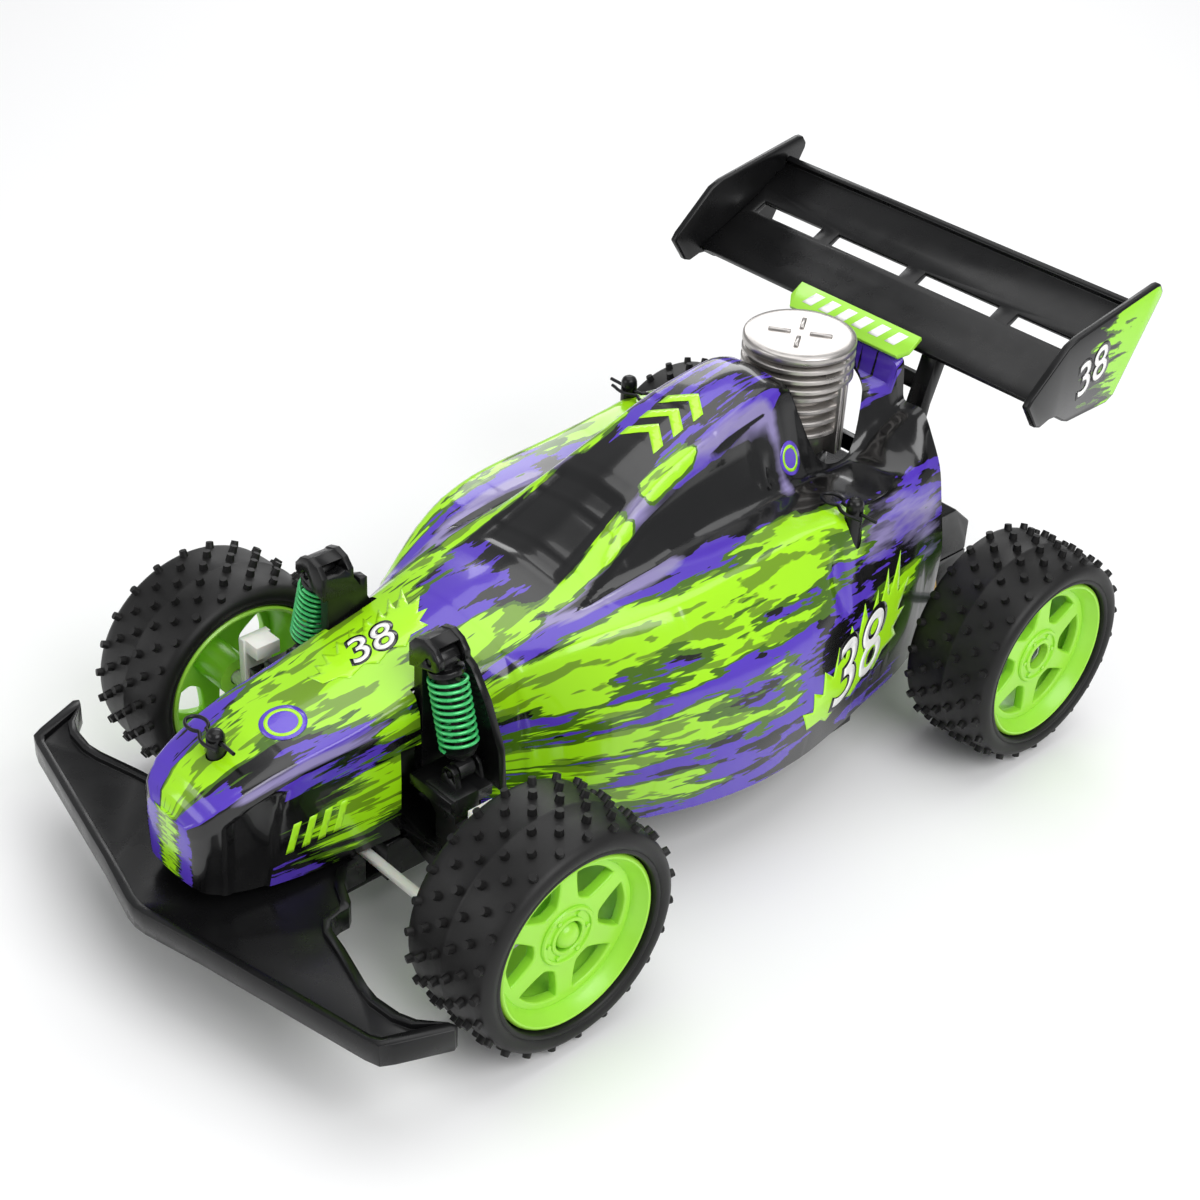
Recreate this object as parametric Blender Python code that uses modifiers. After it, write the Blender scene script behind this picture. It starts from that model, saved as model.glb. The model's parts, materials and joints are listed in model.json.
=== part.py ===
# Remote control buggy: lift-off body on a chassis tub, sprung front arms, live rear axle.
# Run with: blender --background --python part.py
# +X is the car's left, +Y its tail, +Z up, and the wheels stand on z = 0.
import math

import bmesh
import bpy
from mathutils import Matrix, Vector

mm = 0.001            # every length below is in millimetres, and make() turns it to metres
gap = 0.3             # clearance between pieces that touch on the real car

# Driving dimensions
wheelBase = 216.8
midY = 18.8
frontAxleY = midY - wheelBase / 2
rearAxleY = midY + wheelBase / 2
axleZ = 39.1          # rolling radius of the tyres
tyreWidth = 35.0
frontTrack = 160.0    # between the middles of the front tyres
rearTrack = 156.0
floorZ = 20.0         # underside of the chassis tub
shellWall = 1.4

# Front end
kingpinX = 53.0
armPivotX, armPivotZ = 16.0, 40.0
shockTop = Vector((29.3, -84.6, 99.5))
shockFoot = Vector((38.5, -84.6, 65.0))
tieRodY, tieRodZ = -106.0, 30.4
hornPivotY = -121.0

# Gear train: pinion > idler wheel, idler pinion > axle gear
toothModule = 1.1
axleTeeth, idlerSmallTeeth, idlerLargeTeeth, pinionTeeth = 24, 10, 24, 10
idlerY, idlerZ = rearAxleY - 18.6, 43.1
motorY, motorZ = idlerY - 18.0, 37.0

# Wing
wingFront = Vector((0, 121.4, 131.8))
wingRear = Vector((0, 166.0, 154.6))
wingHalfSpan = 77.6

black = (0.012, 0.012, 0.013)
palette = {
    "black_abs": (black, 0.35, 0.0),
    "black_nylon": ((0.02, 0.02, 0.02), 0.5, 0.0),
    "tyre_rubber": ((0.015, 0.015, 0.015), 0.8, 0.0),
    "green_abs": ((0.27, 0.80, 0.04), 0.35, 0.0),
    "lime_shell": ((0.38, 0.76, 0.01), 0.15, 0.0),
    "white_nylon": ((0.85, 0.85, 0.83), 0.45, 0.0),
    "chromed_abs": ((0.62, 0.61, 0.60), 0.25, 0.9),
    "spring_steel_green": ((0.05, 0.55, 0.15), 0.3, 0.4),
    "steel": ((0.6, 0.6, 0.62), 0.3, 1.0),
    "brass": ((0.75, 0.55, 0.22), 0.3, 1.0),
    "circuit_green": ((0.02, 0.18, 0.06), 0.5, 0.0),
    "cell_wrap": ((0.05, 0.12, 0.45), 0.4, 0.0),
}


# ---------------------------------------------------------------- helpers
def emptyScene():
    for thing in list(bpy.data.objects):
        bpy.data.objects.remove(thing, do_unlink=True)


def newCollection(name):
    group = bpy.data.collections.new(name)
    bpy.context.scene.collection.children.link(group)
    return group


def finish(name):
    found = bpy.data.materials.get(name)
    if found:
        return found
    colour, roughness, metallic = palette[name]
    found = bpy.data.materials.new(name)
    found.use_nodes = True
    shader = found.node_tree.nodes["Principled BSDF"]
    shader.inputs["Base Color"].default_value = (*colour, 1)
    shader.inputs["Roughness"].default_value = roughness
    shader.inputs["Metallic"].default_value = metallic
    return found


def make(bm, name="solid"):
    bmesh.ops.scale(bm, vec=(mm, mm, mm), verts=bm.verts)
    mesh = bpy.data.meshes.new(name)
    bm.to_mesh(mesh)
    bm.free()
    thing = bpy.data.objects.new(name, mesh)
    partGroup.objects.link(thing)
    return thing


def bake(thing):
    bpy.context.view_layer.update()
    seen = thing.evaluated_get(bpy.context.evaluated_depsgraph_get())
    mesh = bpy.data.meshes.new_from_object(seen)
    thing.modifiers.clear()
    thing.data = mesh
    return thing


def block(low, high):
    bm = bmesh.new()
    low, high = Vector(low), Vector(high)
    place = Matrix.Translation((low + high) / 2) @ Matrix.Diagonal((*(high - low), 1))
    bmesh.ops.create_cube(bm, size=1, matrix=place)
    return make(bm)


def rod(start, end, radius, endRadius=None, sides=14):
    start, end = Vector(start), Vector(end)
    run = end - start
    turn = run.to_track_quat('Z', 'Y').to_matrix().to_4x4()
    bm = bmesh.new()
    bmesh.ops.create_cone(bm, cap_ends=True, segments=sides, radius1=radius,
                          radius2=radius if endRadius is None else endRadius,
                          depth=run.length, matrix=Matrix.Translation((start + end) / 2) @ turn)
    return make(bm)


def prism(outline, axis, low, high):
    # an outline in the plane across the axis, carried from low to high along it
    def point(a, b, c):
        return {"x": (c, a, b), "y": (a, c, b), "z": (a, b, c)}[axis]
    bm = bmesh.new()
    face = bm.faces.new([bm.verts.new(point(a, b, low)) for a, b in outline])
    grown = bmesh.ops.extrude_face_region(bm, geom=[face])
    step = Vector(point(0, 0, high - low))
    bmesh.ops.translate(bm, vec=step, verts=[v for v in grown["geom"] if isinstance(v, bmesh.types.BMVert)])
    bmesh.ops.recalc_face_normals(bm, faces=bm.faces)
    return make(bm)


def turned(profile, centre, axis="x", sides=36, closed=False, phase=0.0):
    # a profile of (radius, height) run down its outer side, turned about the axis through centre
    mesh = bpy.data.meshes.new("turned")
    points = [(r * mm, 0, h * mm) for r, h in profile]
    edges = [(i, i + 1) for i in range(len(points) - 1)]
    if closed:
        edges.append((len(points) - 1, 0))
    mesh.from_pydata(points, edges, [])
    thing = bpy.data.objects.new("turned", mesh)
    partGroup.objects.link(thing)
    screw = thing.modifiers.new("Screw", 'SCREW')
    screw.axis = 'Z'
    screw.steps = screw.render_steps = sides
    screw.use_merge_vertices = True
    screw.merge_threshold = 0.00001
    bake(thing)
    turns = {"x": Matrix.Rotation(math.pi / 2, 4, 'Y'), "y": Matrix.Rotation(-math.pi / 2, 4, 'X'),
             "z": Matrix.Identity(4)}
    place = Matrix.Translation(Vector(centre) * mm) @ turns[axis] @ Matrix.Rotation(phase, 4, 'Z')
    bm = bmesh.new()
    bm.from_mesh(thing.data)
    bmesh.ops.remove_doubles(bm, verts=bm.verts, dist=0.00001)
    bmesh.ops.recalc_face_normals(bm, faces=bm.faces)
    bmesh.ops.transform(bm, matrix=place, verts=bm.verts)
    bm.to_mesh(thing.data)
    bm.free()
    return thing


def combine(base, tools, operation):
    for tool in tools:
        tool.hide_render = True
        tool.display_type = 'WIRE'
        knife = base.modifiers.new("Boolean", 'BOOLEAN')
        knife.operation = operation
        knife.solver = 'EXACT'
        knife.object = tool
    bake(base)
    for tool in tools:
        bpy.data.objects.remove(tool, do_unlink=True)
    return base


def join(base, *tools):
    return combine(base, tools, 'UNION')


def cut(base, *tools):
    return combine(base, tools, 'DIFFERENCE')


def bevel(thing, width, angle=40, segments=1):
    edge = thing.modifiers.new("Bevel", 'BEVEL')
    edge.width = width * mm
    edge.segments = segments
    edge.limit_method = 'ANGLE'
    edge.angle_limit = math.radians(angle)
    edge.use_clamp_overlap = True
    return bake(thing)


def name(thing, title, material, origin=(0, 0, 0), smooth=30):
    # names the piece, gives its finish and moves its origin onto its joint
    bm = bmesh.new()
    bm.from_mesh(thing.data)
    bmesh.ops.remove_doubles(bm, verts=bm.verts, dist=0.000002)
    bmesh.ops.dissolve_degenerate(bm, edges=bm.edges, dist=0.000002)
    bmesh.ops.translate(bm, vec=-Vector(origin) * mm, verts=bm.verts)
    bm.to_mesh(thing.data)
    bm.free()
    thing.name = thing.data.name = title
    thing.location = Vector(origin) * mm
    thing.data.materials.clear()
    thing.data.materials.append(finish(material))
    thing.data.shade_smooth()
    thing.data.set_sharp_from_angle(angle=math.radians(smooth))
    return thing


def mirrored(thing, title):
    # the same piece on the other side of the car
    other = thing.copy()
    other.data = thing.data.copy()
    bm = bmesh.new()
    bm.from_mesh(other.data)
    bmesh.ops.scale(bm, vec=(-1, 1, 1), verts=bm.verts)
    bmesh.ops.reverse_faces(bm, faces=bm.faces)
    bm.to_mesh(other.data)
    bm.free()
    other.location.x = -thing.location.x
    other.name = other.data.name = title
    partGroup.objects.link(other)
    return other


def bothSides(thing, stem, material, origin=(0, 0, 0)):
    left = name(thing, stem + "_left", material, origin)
    return left, mirrored(left, stem + "_right")


def wholeOutline(half):
    return half + [(-x, y) for x, y in reversed(half) if x > 0.001]


# ---------------------------------------------------------------- body shell
# Half sections from nose to tail: y, then (x, z) for the crown, the top ridge, the sill,
# the shoulder, the side crease, the flank and the lower edge. Where the deck bends between
# sill and shoulder, as at the tail, its own point stands between them.
shellStations = [
    (-160.6, (0, 63.5), (9.5, 63.0), (11.4, 60.5), (12.0, 55), (11.6, 50), (11.3, 46), (11.0, 42.5)),
    (-159.0, (0, 67.4), (13.2, 66.2), (14.6, 62), (14.3, 55), (13.8, 50), (13.3, 45), (13.0, 41.0)),
    (-154.5, (0, 71.2), (15.6, 69.8), (17.0, 65), (16.8, 57), (16.4, 50), (16.0, 44), (15.6, 39.3)),
    (-147.0, (0, 75.2), (17.4, 73.4), (19.0, 68), (18.9, 60), (18.6, 52), (18.2, 44), (17.8, 37.8)),
    (-130.0, (0, 80.0), (19.6, 77.9), (21.4, 73), (21.6, 64), (21.4, 54), (21.0, 45), (20.4, 36.6)),
    (-112.0, (0, 82.6), (21.0, 80.2), (22.9, 75), (23.2, 66), (23.2, 55), (22.9, 45), (22.3, 36.2)),
    (-97.0, (0, 85.4), (21.6, 82.9), (23.8, 77), (24.4, 67), (24.6, 56), (24.4, 46), (23.8, 36.6)),
    (-84.0, (0, 88.0), (21.8, 85.2), (24.6, 80), (25.6, 70), (26.0, 58), (26.0, 47), (25.6, 37.0)),
    (-70.0, (0, 91.2), (21.8, 88.3), (26.2, 84.5), (29.2, 77), (31.2, 60), (31.6, 46), (31.0, 36.0)),
    (-60.0, (0, 93.4), (21.8, 90.6), (27.0, 88), (32.6, 82.5), (38.0, 63), (38.6, 46), (37.0, 32.0)),
    (-50.0, (0, 95.4), (21.8, 92.4), (27.8, 91), (36.6, 87.5), (45.8, 66), (46.4, 46), (43.6, 29.0)),
    (-38.0, (0, 96.8), (21.5, 94.2), (28.2, 94), (41.5, 92), (53.2, 69), (54.0, 46), (50.2, 27.0)),
    (-25.0, (0, 101.8), (20.4, 99.4), (28.4, 96), (46.0, 95), (59.2, 71), (60.0, 46), (56.0, 26.2)),
    (-10.0, (0, 109.2), (18.6, 107.2), (28.4, 97.4), (49.2, 96.6), (64.0, 72.4), (65.0, 46), (61.2, 26)),
    (3.0, (0, 115.6), (16.6, 113.8), (28.2, 98.2), (50.2, 97.4), (66.4, 73), (67.8, 46), (64.4, 26)),
    (20.0, (0, 122.2), (15.9, 120.6), (27.6, 98.8), (50.2, 98.4), (67.2, 72.8), (69.2, 46), (66.2, 26)),
    (36.0, (0, 127.4), (15.9, 125.8), (27.0, 99.6), (50.2, 99.6), (66.2, 72), (68.4, 46), (65.6, 26)),
    (50.0, (0, 131.0), (15.1, 129.3), (26.2, 100.2), (51.0, 100.6), (64.0, 71), (66.2, 46), (63.6, 26)),
    (63.0, (0, 133.0), (14.2, 131.4), (25.2, 100.2), (53.0, 100.6), (61.2, 70), (63.6, 46), (61.0, 26)),
    (74.0, (0, 131.0), (13.2, 128.0), (23.6, 99), (52.6, 100.2), (59.4, 69.4), (61.0, 46), (58.4, 26)),
    (84.0, (0, 124.0), (13.0, 119.0), (22.6, 96.6), (51.4, 99.6), (57.8, 69), (58.6, 46), (56.4, 26)),
    (96.0, (0, 118.0), (14.0, 113.5), (22.8, 97.2), (49.0, 98.8), (56.0, 68.6), (56.0, 46), (53.8, 26)),
    (105.0, (0, 119.0), (17.6, 118.0), (23.4, 105.0), (32.0, 104.6), (47.4, 98.0), (53.6, 68.4), (53.4, 46),
     (51.0, 26)),
    (111.6, (0, 121.0), (23.6, 120.6), (26.0, 112.0), (35.2, 111.6), (46.2, 97.8), (52.4, 68.4), (51.6, 46),
     (48.8, 26)),
    (112.6, (0, 129.6), (24.6, 129.0), (26.2, 113.0), (35.4, 112.8), (46.0, 97.8), (52.2, 68.4), (51.4, 46),
     (48.4, 26)),
    (115.8, (0, 131.2), (24.8, 130.6), (26.4, 114.6), (35.8, 115.4), (45.8, 98.0), (51.6, 68.6), (50.4, 46),
     (46.8, 26)),
]
holeRadius = 22.0
headY = 90.5
clipPlaces = {"front": (0.0, -143.5), "left": (52.5, 64.4), "right": (-52.5, 64.4)}
postTops = {"front": 84.0, "left": 107.5, "right": 107.5}


def bodyShell():
    bm = bmesh.new()
    rows = []
    for y, *left in shellStations:
        if len(left) == 7:
            left.insert(3, ((left[2][0] + left[3][0]) / 2, (left[2][1] + left[3][1]) / 2 + 0.3))
        rows.append([bm.verts.new((-x, y, z)) for x, z in reversed(left[1:])]
                    + [bm.verts.new((x, y, z)) for x, z in left])
    for near, far in zip(rows, rows[1:]):
        for i in range(len(near) - 1):
            bm.faces.new((near[i], near[i + 1], far[i + 1], far[i]))
    bm.faces.new(rows[0])
    bmesh.ops.recalc_face_normals(bm, faces=bm.faces)
    if max(bm.faces, key=lambda f: f.calc_center_median().z).normal.z < 0:
        bmesh.ops.reverse_faces(bm, faces=bm.faces)
    shell = make(bm)
    wall = shell.modifiers.new("Solidify", 'SOLIDIFY')
    wall.thickness = shellWall * mm
    wall.offset = -1
    wall.use_even_offset = True
    wall.thickness_clamp = 0.5
    bake(shell)
    holes = [rod((0, headY, 85), (0, headY, 150), holeRadius, sides=24),
             block((19.6, -96.6, 20), (50, -71.0, 120)), block((-50, -96.6, 20), (-19.6, -71.0, 120))]
    for place, (x, y) in clipPlaces.items():
        holes.append(rod((x, y, 60), (x, y, 120), 3.2, sides=12))
    cut(shell, *holes)
    return name(shell, "body_shell", "lime_shell")


def bodyPosts():
    # each post stands on the chassis, passes through the shell and ends in a domed, cross-drilled head
    feet = {"front": 36.2, "left": floorZ + 2.5, "right": floorZ + 2.5}
    for place, (x, y) in clipPlaces.items():
        top = postTops[place]
        seat = {"front": 75.2, "left": 97.2, "right": 97.2}[place]
        post = turned([(0, top), (1.9, top - 0.6), (2.7, top - 2.4), (2.7, feet[place]), (0, feet[place])],
                      (x, y, 0), "z", 10)
        cut(post, rod((x - 5, y, seat + 5.6), (x + 5, y, seat + 5.6), 0.9, sides=8))
        name(post, "body_post_" + place, "black_abs")
        bodyClip(place, x, y, seat + 5.6)


def bodyClip(place, x, y, z):
    # bent wire pin: the straight leg passes through the post, the other snaps round it
    reach = -1 if x < 0 else 1
    line = bpy.data.curves.new("clip", 'CURVE')
    line.dimensions = '3D'
    line.bevel_depth = 0.6 * mm
    line.bevel_resolution = 1
    line.use_fill_caps = True
    path = [(9.0, 0.0), (-5.5, 0.0)]
    path += [(-9.5 + 4.0 * math.cos(math.radians(a)),
              3.0 * math.sin(math.radians(a))) for a in range(-45, -316, -45)]
    path += [(-4.6, 2.2), (-2.2, 3.6), (0.0, 4.0), (2.4, 3.6), (5.2, 3.0)]
    spline = line.splines.new('POLY')
    spline.points.add(len(path) - 1)
    for i, (along, across) in enumerate(path):
        spline.points[i].co = ((x + reach * along) * mm, (y - across) * mm, z * mm, 1)
    wire = bpy.data.objects.new("clip", line)
    partGroup.objects.link(wire)
    bpy.context.view_layer.update()
    seen = wire.evaluated_get(bpy.context.evaluated_depsgraph_get())
    solid = bpy.data.objects.new("clip", bpy.data.meshes.new_from_object(seen))
    partGroup.objects.link(solid)
    bpy.data.objects.remove(wire, do_unlink=True)
    bm = bmesh.new()
    bm.from_mesh(solid.data)
    bmesh.ops.remove_doubles(bm, verts=bm.verts, dist=0.00001)
    bm.to_mesh(solid.data)
    bm.free()
    name(solid, "body_clip_" + place, "steel", (x, y, z))


# ---------------------------------------------------------------- chassis
tubHalf = [(23.0, -101.0), (23.0, -62), (48, -24), (58, 4), (60, 38), (57.5, 70), (40, 74.6), (36, 80),
           (36, 152)]


def chassisTub():
    outline = wholeOutline(tubHalf)
    tub = prism(outline, "z", floorZ, 34)
    inner = wholeOutline([(20.8, -99.9), (20.8, -61.3), (46.1, -22.7), (55.8, 4.4), (57.8, 38),
                          (55.4, 68.2), (39.6, 72.4)])
    tongue = block((-20, -136, floorZ), (20, -100, floorZ + 2.2))
    join(tub, tongue)
    # walls end in front of the gearbox, which stands on the bare floor
    cut(tub, prism(inner, "z", floorZ + 2.2, 40), block((-70, 74.6, floorZ + 2.2), (70, 160, 40)))
    opening = block((-18.2, -32.2, 10), (18.2, 42.2, 24))
    switchSlot = block((27, -6, 10), (31, 6, 24))
    cut(tub, opening, switchSlot)
    return name(tub, "chassis_tub", "black_abs")


def frontBumper():
    outer = [(0, -174.5), (4.5, -174.0), (24.4, -169.0), (61, -161.0), (84, -156.2), (88.6, -154.6),
             (90.6, -151), (96.9, -135.4), (96.0, -133.6), (93.5, -134.6), (87, -140.6), (82, -142.6),
             (73.4, -143.6), (68, -142.8), (52, -138.4), (44, -136.8), (40.6, -134.6), (39.6, -131),
             (39.6, -127.6), (37.6, -125.4), (30, -122), (26, -118), (26, -111.2)]
    plate = prism(wholeOutline(outer), "z", 28.0, 35.8)
    pan = [(0, -171.6), (4.4, -171.2), (24.0, -166.2), (60.4, -158.2), (83.6, -153.6), (86.2, -152.0),
           (92.4, -136.6), (87.5, -142.9), (82, -145.4), (73.2, -146.2), (67.2, -145.4), (51.2, -141),
           (43, -139.2), (38.4, -136.4), (36.8, -132), (36.8, -128.8), (35.6, -127.6), (28, -124.4),
           (23.2, -119.6),
           (23.2, -113.6)]
    cut(plate, prism(wholeOutline(pan), "z", 33.8, 40))
    under = [(0, -168), (24, -163), (60, -155.2), (80, -151), (74, -149), (50, -144), (36, -139),
             (33, -131), (22, -121), (20, -114)]
    cut(plate, prism(wholeOutline(under), "z", 20, 31.4))
    spacer = block((-14, -134, floorZ + 2.5), (14, -111.2, 33.0))
    join(plate, spacer)
    return name(plate, "front_bumper", "black_abs")


def frontBulkhead():
    # centre box with two ears each side that carry the arms' trunnions, and a flat top for the towers
    core = block((-11.5, -99.5, floorZ + 2.5), (11.5, -72.5, 56))
    ears = [block((-20.5, -99.5, 30), (20.5, -97.4, 50)), block((-20.5, -79.4, 30), (20.5, -77.3, 50)),
            block((-20.3, -77.5, floorZ + 2.5), (20.3, -72.5, 56))]
    join(core, *ears)
    pins = [rod((side * armPivotX, -105, armPivotZ), (side * armPivotX, -76.5, armPivotZ), 1.8, sides=8)
            for side in (1, -1)]
    cut(core, *pins)
    return name(core, "front_bulkhead", "black_abs")


def shockTower():
    # an upright beside the nose: side plate, back gusset behind the spring, cap over the shock's eye
    side = prism([(-88.6, 56.4), (-72.6, 56.4), (-72.6, 88), (-78, 97.6), (-82, 102.4),
                  (-88.6, 100)], "x", 20.6, 24.4)
    gusset = prism([(20.6, 56.4), (45.5, 56.4), (44.5, 70), (38, 84), (31.5, 93), (24, 97),
                    (20.6, 97)], "y",
                   -76.4, -73.8)
    foot = block((12.2, -76.4, 56.4), (24.4, -72.6, 60.4))
    ears = [prism([(20.6, 94.2), (24.4, 95.4), (29.3, 96.8), (33.0, 97.9), (34.4, 99.4), (34.2, 102.0),
                   (31.6, 105.0),
                   (27.5, 106.4), (23.4, 105.2),
                   (20.6, 102.0)], "y", low, high) for low, high in ((-90.4, -88.4), (-80.8, -78.8))]
    bridge = block((20.6, -90.0, 97), (24.4, -79.2, 101.6))
    top = prism([(23.5, 104.9), (27.5, 106.1), (31.4, 104.7), (31.0, 103.9), (27.5, 104.9),
                 (24.2, 104.0)], "y", -88.6,
                -80.6)
    joined = join(side, gusset, foot, *ears, bridge, top)
    cut(joined, rod((shockTop.x, -95, shockTop.z), (shockTop.x, -75.0, shockTop.z), 1.5, sides=8))
    bothSides(joined, "shock_tower", "black_abs")


# ---------------------------------------------------------------- front suspension
def suspensionArm():
    # the two jaws that hold the kingpin stop short of the knuckle's plate, so that it can turn
    web = prism([(16, 36.8), (44, 27.6), (56.4, 27.6), (56.4, 32.2), (48.2, 32.2), (48.2, 47.8),
                 (56.4, 47.8), (56.4, 52.2), (46.4, 53.4), (46.0, 61.5), (33.0, 61.5), (33.0, 57.0),
                 (37.6, 52.5), (37.6, 41.4), (34, 40.0), (16, 43.2)], "y", -94.2, -85.0)
    barrel = rod((armPivotX, -97.0, armPivotZ), (armPivotX, -79.8, armPivotZ), 3.2, sides=10)
    trunnion = rod((armPivotX, -99.2, armPivotZ), (armPivotX, -77.6, armPivotZ), 1.4, sides=8)
    spread = prism([(16, -96.0), (24, -96.0), (46, -94.0), (46, -85.2), (24, -79.8),
                    (16, -79.8)], "z", 36.0, 39.6)
    shelf = block((27.0, -95.4, 57.4), (46.0, -79.8, 61.2))
    lugs = [prism([(34.6, 61.0), (42.4, 61.0), (41.0, 66.2), (39.6, 67.4), (37.4, 67.4),
                   (36.0, 66.2)], "y", low, high)
            for low, high in ((-90.2, -88.3), (-80.9, -79.9))]
    join(web, barrel, trunnion, spread, shelf, *lugs)
    cut(web, rod((kingpinX, frontAxleY, 20), (kingpinX, frontAxleY, 60), 2.2, sides=8),
        rod((shockFoot.x, -95, shockFoot.z), (shockFoot.x, -75, shockFoot.z), 1.5, sides=8))
    bothSides(web, "front_arm", "black_abs", (armPivotX, frontAxleY, armPivotZ))


def knuckle():
    y = frontAxleY
    barrel = rod((kingpinX, y, 32.7), (kingpinX, y, 47.3), 4.0, sides=10)
    pin = rod((kingpinX, y, 28.4), (kingpinX, y, 51.6), 1.8, sides=8)
    web = block((kingpinX, y - 3.2, 33.2), (60.6, y + 3.2, 46.8))
    plate = block((58.2, y - 5.2, 28.5), (60.8, y + 5.2, 62.0))
    brow = block((52.0, y - 4.4, 57.4), (60.8, y + 4.4, 62.0))
    stub = rod((60.0, y, axleZ), (87.0, y, axleZ), 2.4, sides=10)
    leg = prism([(51.0, y), (50.2, tieRodY - 3.0), (55.8, tieRodY - 3.0), (56.6, y - 2)], "z", 34.2, 37.8)
    ball = rod((kingpinX, tieRodY, tieRodZ - 4.4), (kingpinX, tieRodY, 35.0), 1.3, sides=8)
    join(barrel, pin, web, plate, brow, stub, leg, ball)
    bothSides(barrel, "knuckle", "white_nylon", (kingpinX, y, axleZ))


def tieRod():
    # each eye is slotted, since the pin in it swings and lifts with the knuckle
    low, high = tieRodZ, tieRodZ + 2.6
    bar = block((-49, tieRodY - 1.4, low), (49, tieRodY + 1.4, high))
    eyes = [rod((x, tieRodY, low), (x, tieRodY, high), 5.0, sides=14) for x in (-kingpinX, 0, kingpinX)]
    join(bar, *eyes)
    slots = [block((x - half, tieRodY - 2.7, 20), (x + half, tieRodY + 2.7, 50))
             for x, half in ((-kingpinX, 2.8), (0, 1.7), (kingpinX, 2.8))]
    cut(bar, *slots)
    name(bar, "tie_rod", "white_nylon")


def steeringServo():
    case = block((-10.5, -134, 43.0), (10.5, -109.5, 60.0))
    flange = block((-14.5, -134, 51.0), (14.5, -109.5, 53.0))
    shaft = rod((0, hornPivotY, 39.4), (0, hornPivotY, 43.5), 2.2, sides=10)
    leg = block((-10.5, -134.0, 36.2), (10.5, -128.0, 43.5))
    name(join(bevel(case, 0.8), flange, shaft, leg), "steering_servo", "black_nylon")
    hub = rod((0, hornPivotY, 37.0), (0, hornPivotY, 41.6), 4.2, sides=14)
    lever = block((-1.9, hornPivotY, 37.0), (1.9, tieRodY + 1.9, 39.2))
    peg = rod((0, tieRodY, tieRodZ - 1.0), (0, tieRodY, 38.0), 1.3, sides=8)
    join(hub, lever, peg)
    cut(hub, rod((0, hornPivotY, 38.4), (0, hornPivotY, 60), 2.5, sides=10))
    name(hub, "steering_horn", "white_nylon", (0, hornPivotY, 38))


def shock():
    run = (shockFoot - shockTop).normalized()
    length = (shockFoot - shockTop).length

    def along(distance):
        return shockTop + run * distance
    eye = rod(shockTop + Vector((0, -3.2, 0)), shockTop + Vector((0, 3.2, 0)), 3.6, sides=10)
    eyePin = rod(shockTop + Vector((0, -5.4, 0)), shockTop + Vector((0, 5.4, 0)), 1.1, sides=8)
    cap = rod(along(3.5), along(5.2), 5.5, sides=14)
    neck = rod(along(0.5), along(4.0), 3.0, sides=8)
    barrel = rod(along(5.0), along(19.0), 3.7, sides=10)
    body = join(eye, eyePin, neck, cap, barrel)
    cut(body, rod(along(8.0), along(22.0), 1.9, sides=8))
    bothSides(body, "shock_body", "black_abs", shockTop)
    foot = rod(shockFoot + Vector((0, -3.2, 0)), shockFoot + Vector((0, 2.2, 0)), 3.0, sides=10)
    footPin = rod(shockFoot + Vector((0, -5.4, 0)), shockFoot + Vector((0, 4.6, 0)), 1.0, sides=8)
    stem = rod(along(12.4), along(length - 1), 1.5, sides=8)
    seat = rod(along(length - 6.6), along(length - 4.6), 5.6, 4.4, sides=14)
    bothSides(join(foot, footPin, stem, seat), "shock_rod", "black_nylon", shockFoot)
    # the coil is one sleeve here, from under the cap to the seat
    first, last = 5.5, length - 6.9
    sleeve = rod(along(first), along(last), 6.1, sides=14)
    cut(sleeve, rod(along(first - 2), along(last + 2), 4.9, sides=14))
    bothSides(sleeve, "shock_spring", "spring_steel_green", along(first))


# ---------------------------------------------------------------- wheels
def tyre(x, y):
    half = tyreWidth / 2
    tread = axleZ
    outside = [(tread, 13.0), (tread, -13.0), (36.0, -16.8), (33.0, -half), (29.4, -16.6), (29.4, -13.8),
               (35.4, -13.6), (35.4, 13.6), (29.4, 13.8), (29.4, 16.6), (33.0, half), (36.0, 16.8)]
    return turned(outside, (x, y, axleZ), "x", 26, closed=True)


def rim(x, y, front):
    # barrel with rolled lips, six windows between the spokes, and a hub with a round boss
    sides = 20
    barrel = turned([(29.0, 15.6), (29.0, -16.9), (27.0, -16.9), (24.4, 6.5), (24.4, 11.0), (27.2, 15.6)],
                    (x, y, axleZ), "x", sides, closed=True)
    web = rod((x + 7.0, y, axleZ), (x + 10.8, y, axleZ), 25.6, sides=sides)
    windows = []
    for k in range(6):
        middle = math.radians(60 * k + 30)
        inner, outer = 11.4, 22.8
        corners = [(inner, -0.27), (outer, -0.40), (outer + 0.9, 0.0), (outer, 0.40), (inner, 0.27)]
        outline = [(y + r * math.cos(middle + a), axleZ + r * math.sin(middle + a)) for r, a in corners]
        windows.append(prism(outline, "x", x + 2, x + 16))
    cut(web, *windows)
    hub = rod((x - 10.0, y, axleZ), (x + 9.0, y, axleZ), 6.6, sides=10)
    boss = rod((x + 8.0, y, axleZ), (x + 11.8, y, axleZ), 10.0, sides=sides)
    wheel = join(web, barrel, hub, boss)
    if front:
        cut(wheel, rod((x - 12, y, axleZ), (x + 7.4, y, axleZ), 2.7, sides=8),
            rod((x + 7.2, y, axleZ), (x + 14, y, axleZ), 5.0, sides=10))
    else:
        cut(wheel, rod((x - 12, y, axleZ), (x + 12, y, axleZ), 2.3, sides=8),
            rod((x + 5.0, y, axleZ), (x + 14, y, axleZ), 4.7, sides=10))
    return wheel


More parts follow.
